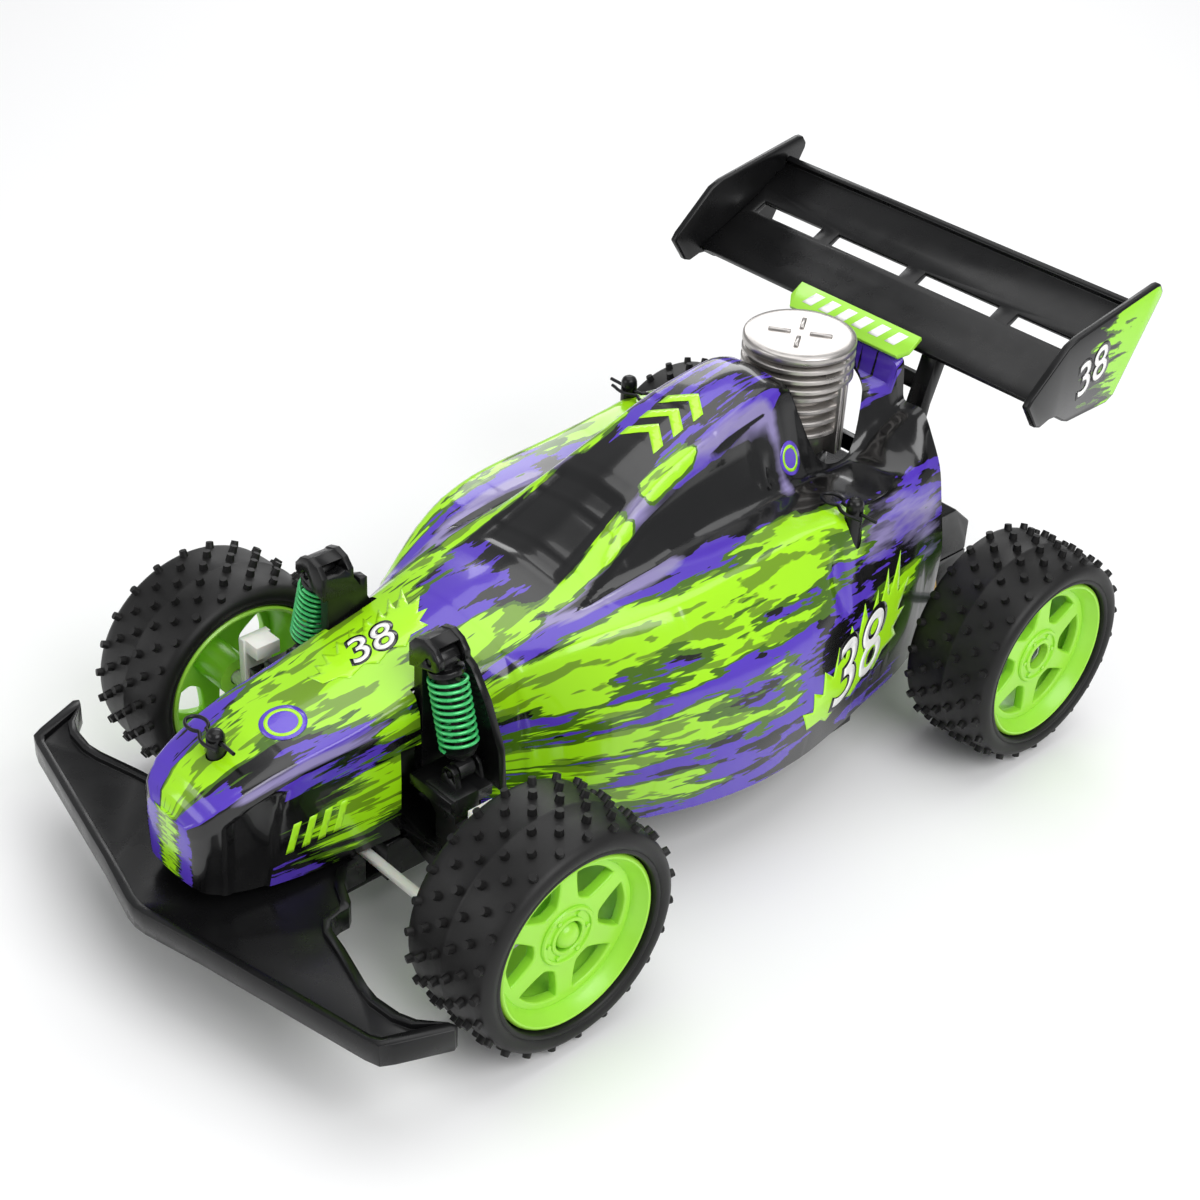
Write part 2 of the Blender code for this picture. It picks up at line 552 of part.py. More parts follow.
def wheels():
    for end, y, track in (("front", frontAxleY, frontTrack), ("rear", rearAxleY, rearTrack)):
        x = track / 2
        centre = (x, y, axleZ)
        bothSides(tyre(x, y), end + "_tyre", "tyre_rubber", centre)
        bothSides(rim(x, y, end == "front"), end + "_rim", "green_abs", centre)
    x = frontTrack / 2
    cap = turned([(0, 13.2), (2.6, 12.6), (4.0, 11.0), (4.6, 8.6), (4.6, 7.8), (0, 7.8)],
                 (x, frontAxleY, axleZ), "x", 14)
    bothSides(cap, "hub_cap", "green_abs", (x, frontAxleY, axleZ))


# ---------------------------------------------------------------- drive
def gear(teeth, width, centre, bore, phase=0.0):
    # straight-sided teeth, thinner than their gaps so that the train turns freely
    root, tip = toothModule * (teeth / 2 - 1.3), toothModule * (teeth / 2 + 0.85)
    x, y, z = centre
    pitch = 2 * math.pi / teeth
    outline = []
    for k in range(teeth):
        middle = k * pitch + phase
        for share, radius in ((-0.27, root), (-0.10, tip), (0.10, tip), (0.27, root)):
            outline.append((y + radius * math.cos(middle + share * pitch),
                            z + radius * math.sin(middle + share * pitch)))
    wheel = prism(outline, "x", x - width / 2, x + width / 2)
    if bore:
        cut(wheel, rod((x - width, y, z), (x + width, y, z), bore, sides=10))
    return wheel


def meshPhase(fromTeeth, fromPhase, toTeeth, bearing):
    # phase of the second gear that puts a gap where the first gear has a tooth on the line of centres
    offset = ((bearing - fromPhase) / (2 * math.pi / fromTeeth)) % 1.0
    pitch = 2 * math.pi / toTeeth
    return bearing + math.pi + offset * pitch + 0.5 * pitch


def driveTrain():
    bearing = math.atan2(idlerZ - axleZ, idlerY - rearAxleY)
    smallPhase = meshPhase(axleTeeth, 0.0, idlerSmallTeeth, bearing)
    axleGear = gear(axleTeeth, 5.0, (17.0, rearAxleY, axleZ), 2.25)
    collar = rod((19.0, rearAxleY, axleZ), (24.0, rearAxleY, axleZ), 5.0, sides=10)
    join(axleGear, collar)
    cut(axleGear, rod((10, rearAxleY, axleZ), (30, rearAxleY, axleZ), 2.3, sides=10))
    name(axleGear, "axle_gear", "white_nylon", (0, rearAxleY, axleZ))

    large = gear(idlerLargeTeeth, 4.6, (9.0, idlerY, idlerZ), 0)
    small = gear(idlerSmallTeeth, 8.2, (15.2, idlerY, idlerZ), 0, smallPhase)
    spindle = rod((5.0, idlerY, idlerZ), (33.2, idlerY, idlerZ), 1.6, sides=8)
    name(join(large, small, spindle), "idler_gear", "white_nylon", (0, idlerY, idlerZ))

    bearing = math.atan2(motorZ - idlerZ, motorY - idlerY)
    pinion = gear(pinionTeeth, 5.0, (9.0, motorY, motorZ),
                  1.2, meshPhase(idlerLargeTeeth, 0.0, pinionTeeth, bearing))
    name(pinion, "motor_pinion", "brass", (0, motorY, motorZ))
    can = rod((-28.0, motorY, motorZ), (1.8, motorY, motorZ), 11.8, sides=20)
    boss = rod((1.0, motorY, motorZ), (3.6, motorY, motorZ), 3.2, sides=10)
    shaft = rod((3.0, motorY, motorZ), (12.4, motorY, motorZ), 0.9, sides=8)
    tail = rod((-30.6, motorY, motorZ), (-27.5, motorY, motorZ), 3.2, sides=10)
    name(join(can, boss, shaft, tail), "drive_motor", "steel", (0, motorY, motorZ))

    reach = rearTrack / 2 + 8.0
    name(rod((-reach, rearAxleY, axleZ), (reach, rearAxleY, axleZ), 1.95, sides=10), "rear_axle", "steel",
         (0, rearAxleY, axleZ))
    nut = rod((rearTrack / 2 + 5.6, rearAxleY, axleZ), (rearTrack / 2 + 9.4, rearAxleY, axleZ),
              3.9, sides=6)
    cut(nut, rod((60, rearAxleY, axleZ), (95, rearAxleY, axleZ), 2.3, sides=10))
    bothSides(nut, "axle_nut", "steel", (rearTrack / 2, rearAxleY, axleZ))
    bush = turned([(6.2, 39.0), (6.2, 36.6), (4.6, 36.6), (4.6, 31.2), (2.2, 31.2), (2.2, 39.0)],
                  (0, rearAxleY, axleZ), "x", 12, closed=True)
    bothSides(bush, "axle_bush", "brass")


def gearbox():
    # lower tray with the axle, spindle and motor seats, and a lid that closes over them
    front, back = motorY - 14.5, 152.0
    tray = block((-35.6, front, floorZ + 2.5), (35.6, back, 46.0))
    cut(tray, block((-33.4, front + 2.2, floorZ + 4.1), (33.4, back - 2.2, 60)))
    cheek = block((-24.0, front + 1.0, floorZ + 3.0), (-20.0, motorY + 13.5, motorZ))
    nose = block((-4.5, front + 1.0, floorZ + 3.0), (-0.5, motorY + 13.5, motorZ))
    spindleWall = block((26.0, idlerY - 5, floorZ + 3.0), (30.0, idlerY + 5, 46.0))
    join(tray, cheek, nose, spindleWall)
    cut(tray, rod((-45, rearAxleY, axleZ), (45, rearAxleY, axleZ), 4.9, sides=14),
        rod((-32, motorY, motorZ), (10, motorY, motorZ), 12.1, sides=20),
        rod((3, idlerY, idlerZ), (33.38, idlerY, idlerZ), 2.0, sides=8))
    name(tray, "gearbox_housing", "black_abs")

    profile = [(front, 46.3), (back, 46.3), (back, 58.0), (back - 9, 66.0), (front + 6, 66.0),
               (front, 60.0)]
    lid = prism(profile, "x", -35.6, 35.6)
    inside = [(front + 2.2, 40.0), (back - 2.2, 40.0), (back - 2.2, 57.2), (back - 9.8, 63.8),
              (front + 6.8, 63.8),
              (front + 2.2, 59.2)]
    cut(lid, prism(inside, "x", -33.4, 33.4))
    name(lid, "gearbox_cover", "black_abs")


# ---------------------------------------------------------------- electronics
def electronics():
    pack = block((-16.8, -30.6, floorZ + 4.4), (16.8, 40.6, floorZ + 20.0))
    name(bevel(pack, 2.0, segments=2), "battery_pack", "cell_wrap")
    door = block((-17.8, -31.8, floorZ + 0.2), (17.8, 41.8, floorZ + 2.0))
    lip = block((-15, 38, floorZ + 1.6), (15, 41.2, floorZ + 3.6))
    ribs = [block((-10, y, floorZ + 1.6), (10, y + 1.6, floorZ + 3.6)) for y in (-24.0, -8.0, 8.0, 24.0)]
    join(door, lip, *ribs)
    cut(door, rod((0, 34, 10), (0, 34, 40), 1.7, sides=8))
    name(door, "battery_door", "black_abs")
    screw = rod((0, 34, floorZ + 0.4), (0, 34, floorZ + 3.9), 1.3, sides=8)
    name(screw, "battery_door_screw", "steel")
    bay = block((-19.6, -33.8, floorZ + 2.5), (19.6, 43.8, floorZ + 21.6))
    cut(bay, block((-17.4, -31.6, 20), (17.4, 41.6, floorZ + 20.6)))
    name(bay, "battery_bay", "black_abs")
    board = block((-18, -22, 45.2), (18, 24, 46.8))
    chips = [block((-12, -14, 46.5), (-4, -6, 49.0)), block((2, -18, 46.5), (14, -8, 48.4)),
             rod((10, 10, 46.5), (10, 10, 54), 3.0, sides=10), block((-14, 6, 46.5), (-2, 18, 52))]
    legs = [rod((x, y, floorZ + 21.9), (x, y, 45.6),
                1.6, sides=8) for x in (-15.5, 15.5) for y in (-19.5, 21.5)]
    name(join(board, *chips, *legs), "circuit_board", "circuit_green")
    slider = block((27.4, -3.0, floorZ + 0.3), (30.6, 3.0, floorZ + 2.6))
    base = block((26.0, -9.6, floorZ + 2.6), (32.0, 9.6, floorZ + 4.2))
    cutBase = [block((24, y, 10), (34, y + 3.9, 40)) for y in (-9.7, 5.8)]
    join(slider, cut(base, *cutBase))
    name(slider, "power_switch", "black_nylon", (29, 0, floorZ + 1))


# ---------------------------------------------------------------- engine and wing
def engine():
    # dummy cylinder head: a lid with a raised cross, wide fins, then the finned barrel
    top = 137.0
    profile = [(0, top), (18.4, top), (19.0, top - 0.8), (19.0, top - 3.4), (17.2, top - 3.8)]
    z = top - 4.8
    for pitch, waist, rim, count in ((3.6, 17.2, 19.0, 3), (5.0, 15.0, 17.4, 4)):
        for k in range(count):
            profile += [(waist, z), (rim, z - 0.3), (rim, z - 2.0)]
            z -= pitch
    profile += [(15.0, z), (15.0, 97.5), (0, 97.5)]
    head = turned(profile, (0, headY, 0), "z", 18)
    name(head, "engine_head", "chromed_abs")
    mount = turned([(0, 97.2), (13.5, 97.2), (13.5, 90), (9.0, 84), (9.0, 72), (16.0, 68),
                    (16.0, 66.3), (0, 66.3)],
                   (0, headY, 0), "z", 16)
    name(mount, "engine_mount", "black_abs")


def onWing(chord, lift=0.0):
    # point on the wing's top surface, chord from 0 at its front edge to 1 at its rear edge
    run = wingRear - wingFront
    up = Vector((0, -run.z, run.y)).normalized()
    return wingFront + run * chord + up * lift


def wing():
    count = 7
    camber = 1.6
    upper = [onWing(i / count, -camber * 4 * (i / count) * (1 - i / count)) for i in range(count + 1)]
    lower = [onWing(i / count,
                    -camber * 4 * (i / count) * (1 - i / count) - 2.2) for i in reversed(range(count + 1))]
    lip = [onWing(1.0, 1.6), onWing(0.955, 1.4)]
    outline = [(p.y, p.z) for p in upper[:-1] + [onWing(0.95, -0.4)] + lip[::-1] + lower]
    plane = prism(outline, "x", -wingHalfSpan, wingHalfSpan)
    slots = []
    for low, high in ((3.7, 36.4), (43.8, 72.6)):
        for side in (1, -1):
            ends = sorted((side * low, side * high))
            corners = [onWing(0.48, 6), onWing(0.59, 6), onWing(0.59, -8), onWing(0.48, -8)]
            slots.append(prism([(p.y, p.z) for p in corners], "x", *ends))
    cut(plane, *slots)
    name(plane, "wing_plane", "black_abs")

    end = [(108.6, 136.6), (110.4, 139.2), (126.0, 152.8), (130.6, 154.6), (170.2, 161.7), (172.4, 161.6),
           (174.5, 158.6), (174.2, 156.8), (156.6, 126.2), (153.0, 124.3), (132.4, 124.1), (129.6, 125.2),
           (124.8, 128.2), (121.8, 128.4), (117.2, 127.0), (114.4, 128.0)]
    plate = prism(end, "x", wingHalfSpan + gap, wingHalfSpan + gap + 2.8)
    bothSides(bevel(plate, 0.5), "wing_endplate", "black_abs")


def wingMount():
    # two leaning stays from the gearbox lid to the underside of the wing, tied by two bars
    stay = [(116.8, 66.3), (126.0, 66.3), (122.6, 74), (121.6, 98), (124.4, 112), (129.4, 126),
            (131.6, 132.0),
            (124.4, 128.8), (123.6, 126.0), (119.4, 113), (117.0, 100)]
    stays = [prism(stay, "x", side * 28.3 - 3.2, side * 28.3 + 3.2) for side in (1, -1)]
    bars = [block((-28.3, 118.4, 84), (28.3, 121.0, 90)), block((-28.3, 122.6, 116), (28.3, 124.6, 122))]
    join(stays[0], stays[1], *bars)
    name(stays[0], "wing_mount", "black_abs")


def badgePlate():
    # small sign board, corners cut at its lower edge, that sits on the shell's tail pylon
    front, back = Vector((0, 112.4, 130.2)), Vector((0, 121.2, 135.6))
    run = back - front
    up = Vector((0, -run.z, run.y)).normalized()
    tall = [front, back, back + up * 1.6, front + up * 1.6]
    badge = prism([(p.y, p.z) for p in tall], "x", -27.0, 27.0)
    corners = [prism([(side * 24.2, 110.0), (side * 24.2, 112.0), (side * 27.4, 115.6), (side * 30, 115.6),
                      (side * 30, 110.0)], "z", 120, 140) for side in (1, -1)]
    cut(badge, *corners)
    name(badge, "wing_badge_plate", "green_abs")


emptyScene()
partGroup = newCollection("remote_control_car")
bodyShell()
bodyPosts()
chassisTub()
frontBumper()
frontBulkhead()
shockTower()
suspensionArm()
knuckle()
tieRod()
steeringServo()
shock()
wheels()
driveTrain()
gearbox()
electronics()
engine()
wing()
wingMount()
badgePlate()
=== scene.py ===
import json
import math

import bmesh
import bpy
import numpy as np
from mathutils import Matrix, Vector
from mathutils.bvhtree import BVHTree


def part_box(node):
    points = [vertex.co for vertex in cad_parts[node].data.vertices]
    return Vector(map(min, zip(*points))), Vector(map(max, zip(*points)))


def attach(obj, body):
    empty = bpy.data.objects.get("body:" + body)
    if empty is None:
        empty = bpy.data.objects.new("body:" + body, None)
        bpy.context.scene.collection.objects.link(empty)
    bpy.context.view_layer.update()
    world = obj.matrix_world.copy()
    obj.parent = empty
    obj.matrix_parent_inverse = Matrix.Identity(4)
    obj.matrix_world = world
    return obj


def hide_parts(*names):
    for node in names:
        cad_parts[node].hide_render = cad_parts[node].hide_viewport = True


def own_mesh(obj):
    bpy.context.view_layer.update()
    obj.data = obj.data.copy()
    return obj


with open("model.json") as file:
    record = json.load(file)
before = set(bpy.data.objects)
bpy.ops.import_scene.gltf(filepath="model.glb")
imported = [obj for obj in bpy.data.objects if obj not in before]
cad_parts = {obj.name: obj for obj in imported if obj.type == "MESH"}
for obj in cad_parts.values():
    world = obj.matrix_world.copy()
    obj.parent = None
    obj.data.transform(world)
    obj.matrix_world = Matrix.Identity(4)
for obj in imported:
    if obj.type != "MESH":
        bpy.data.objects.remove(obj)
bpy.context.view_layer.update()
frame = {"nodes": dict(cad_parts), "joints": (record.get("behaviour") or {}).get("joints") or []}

mm = 0.001
sides = (("left", 1), ("right", -1))


def middle(node):
    low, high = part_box(node)
    return (Vector(low) + Vector(high)) / 2


def linear(hexColour, alpha=1.0):
    parts = [int(hexColour[i:i + 2], 16) / 255 for i in (1, 3, 5)]
    return tuple(c / 12.92 if c <= 0.04045 else ((c + 0.055) / 1.055) ** 2.4 for c in parts) + (alpha,)


# Materials
def addNode(tree, kind, settings=None, links=None):
    node = tree.nodes.new(kind)
    for key, value in (settings or {}).items():
        setattr(node, key, value)
    for key, value in (links or {}).items():
        if isinstance(value, bpy.types.NodeSocket):
            tree.links.new(value, node.inputs[key])
        else:
            node.inputs[key].default_value = value
    return node


def startMaterial(name, **values):
    finish = bpy.data.materials.new(name)
    finish.use_nodes = True
    tree = finish.node_tree
    shader = tree.nodes["Principled BSDF"]
    for socket, value in values.items():
        shader.inputs[socket.replace("_", " ")].default_value = value
    return finish, tree, shader


def bumpFrom(tree, shader, height, strength, distance):
    bump = addNode(tree, "ShaderNodeBump",
                   links={"Height": height, "Strength": strength, "Distance": distance * mm})
    tree.links.new(bump.outputs["Normal"], shader.inputs["Normal"])


def mouldedPlastic(name, colour, roughness, grainMm, grainDepth, wear, coat=0.0, sheen=0.5):
    # injection-moulded plastic: an even colour that drifts a little, a fine orange peel, and
    # scuffs that turn the gloss patchy
    finish, tree, shader = startMaterial(name, Coat_Weight=coat, Coat_Roughness=0.05,
                                         Specular_IOR_Level=sheen)
    where = addNode(tree, "ShaderNodeTexCoord").outputs["Object"]
    drift = addNode(tree, "ShaderNodeTexNoise",
                    links={"Vector": where, "Scale": 1 / (28 * mm), "Detail": 3.0})
    grain = addNode(tree, "ShaderNodeTexNoise",
                    links={"Vector": where, "Scale": 1 / (grainMm * mm), "Detail": 2.0})
    base = linear(colour)
    lighter = tuple(min(1, c * 1.25 + 0.004) for c in base[:3]) + (1,)
    mix = addNode(tree, "ShaderNodeMix", {"data_type": "RGBA"},
                  {"Factor": drift.outputs["Fac"], "A": base, "B": lighter})
    tree.links.new(mix.outputs["Result"], shader.inputs["Base Color"])
    scuffs = addNode(tree, "ShaderNodeTexNoise",
                     links={"Vector": where, "Scale": 1 / (9 * mm), "Detail": 5.0})
    gloss = addNode(tree, "ShaderNodeMapRange",
                    links={"Value": scuffs.outputs["Fac"], "From Min": 0.35, "From Max": 0.7,
                                                     "To Min": roughness, "To Max": roughness + wear})
    tree.links.new(gloss.outputs["Result"], shader.inputs["Roughness"])
    bumpFrom(tree, shader, grain.outputs["Fac"], 0.35, grainDepth)
    return finish


def blackMoulding():
    # black ABS from a spark-eroded mould: deep black with a soft sheen and a faint grain
    return mouldedPlastic("blackAbsMoulding", "#0B0B0C", 0.24, 0.5, 0.015, 0.12, sheen=0.34)


def waxyNylon():
    # black nylon, a little greyer and duller than ABS
    return mouldedPlastic("blackNylonMoulding", "#111112", 0.40, 0.6, 0.03, 0.12, sheen=0.34)


def whiteNylon():
    # natural nylon: milky white and slightly translucent at thin edges
    finish = mouldedPlastic("naturalNylonMoulding", "#E9E7E0", 0.38, 0.6, 0.02, 0.10)
    shader = finish.node_tree.nodes["Principled BSDF"]
    shader.inputs["Subsurface Weight"].default_value = 0.15
    shader.inputs["Subsurface Scale"].default_value = 1.5 * mm
    return finish


def greenAbs():
    # spring-green ABS, self coloured and polished
    return mouldedPlastic("greenAbsMoulding", "#97D63A", 0.28, 0.7, 0.015, 0.12, coat=0.1)


def platedPlastic():
    # vacuum-metallised plastic under matt lacquer: bright silver with a soft broad highlight
    finish, tree, shader = startMaterial("satinPlatedPlastic", Metallic=0.85)
    where = addNode(tree, "ShaderNodeTexCoord").outputs["Object"]
    cloud = addNode(tree, "ShaderNodeTexNoise",
                    links={"Vector": where, "Scale": 1 / (6 * mm), "Detail": 4.0})
    mix = addNode(tree, "ShaderNodeMix", {"data_type": "RGBA"},
                  {"Factor": cloud.outputs["Fac"], "A": linear("#A29E9B"), "B": linear("#C9C5C1")})
    tree.links.new(mix.outputs["Result"], shader.inputs["Base Color"])
    gloss = addNode(tree, "ShaderNodeMapRange",
                    links={"Value": cloud.outputs["Fac"], "To Min": 0.22, "To Max": 0.38})
    tree.links.new(gloss.outputs["Result"], shader.inputs["Roughness"])
    sparkle = addNode(tree, "ShaderNodeTexNoise",
                      links={"Vector": where, "Scale": 1 / (0.7 * mm), "Detail": 2.0})
    bumpFrom(tree, shader, sparkle.outputs["Fac"], 0.5, 0.05)
    return finish


def tyreRubber():
    # soft moulded rubber: charcoal black, dull on the tread, with mould bloom in cloudy patches
    finish, tree, shader = startMaterial("mouldedTyreRubber", Specular_IOR_Level=0.35)
    where = addNode(tree, "ShaderNodeTexCoord").outputs["Object"]
    bloom = addNode(tree, "ShaderNodeTexNoise",
                    links={"Vector": where, "Scale": 1 / (14 * mm), "Detail": 6.0})
    mix = addNode(tree, "ShaderNodeMix", {"data_type": "RGBA"},
                  {"Factor": bloom.outputs["Fac"], "A": linear("#0C0C0C"), "B": linear("#1A1919")})
    tree.links.new(mix.outputs["Result"], shader.inputs["Base Color"])
    gloss = addNode(tree, "ShaderNodeMapRange",
                    links={"Value": bloom.outputs["Fac"], "To Min": 0.36, "To Max": 0.62})
    tree.links.new(gloss.outputs["Result"], shader.inputs["Roughness"])
    skin = addNode(tree, "ShaderNodeTexNoise",
                   links={"Vector": where, "Scale": 1 / (0.9 * mm), "Detail": 3.0})
    bumpFrom(tree, shader, skin.outputs["Fac"], 0.4, 0.06)
    return finish


def metal(name, colour, roughness, streakMm, axisScale):
    # drawn or turned metal: fine parallel tool marks stretch the highlight
    finish, tree, shader = startMaterial(name, Metallic=1.0)
    where = addNode(tree, "ShaderNodeTexCoord").outputs["Object"]
    turned = addNode(tree, "ShaderNodeMapping", links={"Vector": where, "Scale": axisScale})
    marks = addNode(tree, "ShaderNodeTexNoise",
                    links={"Vector": turned.outputs["Vector"], "Scale": 1 / (streakMm * mm),
                                                      "Detail": 4.0})
    base = linear(colour)
    darker = tuple(c * 0.72 for c in base[:3]) + (1,)
    mix = addNode(tree, "ShaderNodeMix", {"data_type": "RGBA"},
                  {"Factor": marks.outputs["Fac"], "A": darker, "B": base})
    tree.links.new(mix.outputs["Result"], shader.inputs["Base Color"])
    gloss = addNode(tree, "ShaderNodeMapRange", links={"Value": marks.outputs["Fac"], "To Min": roughness,
                                                     "To Max": roughness + 0.18})
    tree.links.new(gloss.outputs["Result"], shader.inputs["Roughness"])
    bumpFrom(tree, shader, marks.outputs["Fac"], 0.3, 0.02)
    return finish


def springLacquer():
    # music wire under green lacquer, glossy with small chips of darker green
    finish, tree, shader = startMaterial("greenLacqueredWire", Coat_Weight=0.6, Coat_Roughness=0.08,
                                         Metallic=0.25)
    where = addNode(tree, "ShaderNodeTexCoord").outputs["Object"]
    chips = addNode(tree, "ShaderNodeTexNoise",
                    links={"Vector": where, "Scale": 1 / (1.8 * mm), "Detail": 3.0})
    mix = addNode(tree, "ShaderNodeMix", {"data_type": "RGBA"},
                  {"Factor": chips.outputs["Fac"], "A": linear("#23B556"), "B": linear("#57E08A")})
    tree.links.new(mix.outputs["Result"], shader.inputs["Base Color"])
    gloss = addNode(tree, "ShaderNodeMapRange",
                    links={"Value": chips.outputs["Fac"], "To Min": 0.2, "To Max": 0.4})
    tree.links.new(gloss.outputs["Result"], shader.inputs["Roughness"])
    return finish


black = blackMoulding()
nylon = waxyNylon()
white = whiteNylon()
green = greenAbs()
silver = platedPlastic()
rubber = tyreRubber()
steel = metal("drawnSteel", "#B9BBC0", 0.22, 0.8, (0.1, 1, 1))
brass = metal("turnedBrass", "#D9B36A", 0.24, 0.8, (1, 0.2, 0.2))
springGreen = springLacquer()
board = mouldedPlastic("solderMaskedBoard", "#14522A", 0.30, 1.2, 0.02, 0.1)
wrap = mouldedPlastic("heatShrinkFilm", "#2446A8", 0.25, 2.0, 0.03, 0.1, coat=0.3)


# Mesh helpers
def toObject(name, bm, material, smooth=35):
    mesh = bpy.data.meshes.new(name)
    bm.to_mesh(mesh)
    bm.free()
    mesh.materials.append(material)
    made = bpy.data.objects.new(name, mesh)
    bpy.context.scene.collection.objects.link(made)
    if smooth:
        mesh.shade_smooth()
        mesh.set_sharp_from_angle(angle=math.radians(smooth))
    return made


def settle(thing):
    # turn what the modifiers show into a plain mesh, with the object at the origin
    bpy.context.view_layer.update()
    seen = thing.evaluated_get(bpy.context.evaluated_depsgraph_get())
    mesh = bpy.data.meshes.new_from_object(seen)
    mesh.transform(thing.matrix_world)
    mesh.name = thing.name
    if thing.type == 'MESH':
        thing.modifiers.clear()
        thing.data = mesh
        thing.matrix_world = Matrix.Identity(4)
        return thing
    made = bpy.data.objects.new(thing.name, mesh)
    bpy.context.scene.collection.objects.link(made)
    oldName = thing.name
    bpy.data.objects.remove(thing, do_unlink=True)
    made.name = oldName
    return made


def fit(piece, body, slotName, *nodes):
    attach(piece, body)
    if nodes:
        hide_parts(*nodes)
    return piece


def turned(name, profile, centre, axis, material, segments=72, smooth=35):
    # profile is (radius, height) in mm; it runs along the axis and is spun once round it
    bm = bmesh.new()
    turn = {"x": Matrix.Rotation(math.radians(90), 4, 'Y'), "z": Matrix.Identity(4)}[axis]
    rings = []
    for radius, height in profile:
        if radius < 0.001:
            rings.append([bm.verts.new((0, 0, height * mm))])
            continue
        rings.append([bm.verts.new((radius * mm * math.cos(2 * math.pi * k / segments),
                                    radius * mm * math.sin(2 * math.pi * k / segments), height * mm))
                      for k in range(segments)])
    pairs = list(zip(rings, rings[1:]))
    if len(rings[0]) > 1 and len(rings[-1]) > 1:
        pairs.append((rings[-1], rings[0]))
    for a, b in pairs:
        for k in range(segments):
            corners = [a[k % len(a)], a[(k + 1) % len(a)], b[(k + 1) % len(b)], b[k % len(b)]]
            bm.faces.new(list(dict.fromkeys(corners)))
    bmesh.ops.recalc_face_normals(bm, faces=bm.faces)
    bm.transform(Matrix.Translation(Vector(centre)) @ turn)
    return toObject(name, bm, material, smooth)


def addBox(bm, low, high, turn=None):
    made = bmesh.ops.create_cube(bm, size=1.0)["verts"]
    low, high = Vector(low), Vector(high)
    size = high - low
    place = Matrix.Translation((low + high) / 2) @ (turn or Matrix.Identity(4)) @ Matrix.Diagonal((*size,
                                                                                                   1))
    bmesh.ops.transform(bm, matrix=place, verts=made)
    return made


def rounded(thing, width, segments=2, angle=32):
    soft = thing.modifiers.new("edges", 'BEVEL')
    soft.width = width * mm
    soft.segments = segments
    soft.limit_method = 'ANGLE'
    soft.angle_limit = math.radians(angle)
    soft.harden_normals = True
    return settle(thing)


def refined(node, material, width=0.35, name=None, segments=2):
    # a copy of a CAD solid with its flat faces merged and its edges rounded as a mould leaves them
    bm = bmesh.new()
    bm.from_mesh(frame["nodes"][node].data)
    bmesh.ops.remove_doubles(bm, verts=bm.verts, dist=0.00001)
    bmesh.ops.dissolve_limit(bm, angle_limit=math.radians(1.5), verts=bm.verts, edges=bm.edges)
    bmesh.ops.connect_verts_concave(bm, faces=bm.faces)
    made = toObject(name or node + "_moulding", bm, material)
    rounded(made, width, segments)
    made.data.shade_smooth()
    made.data.set_sharp_from_angle(angle=math.radians(40))
    return made


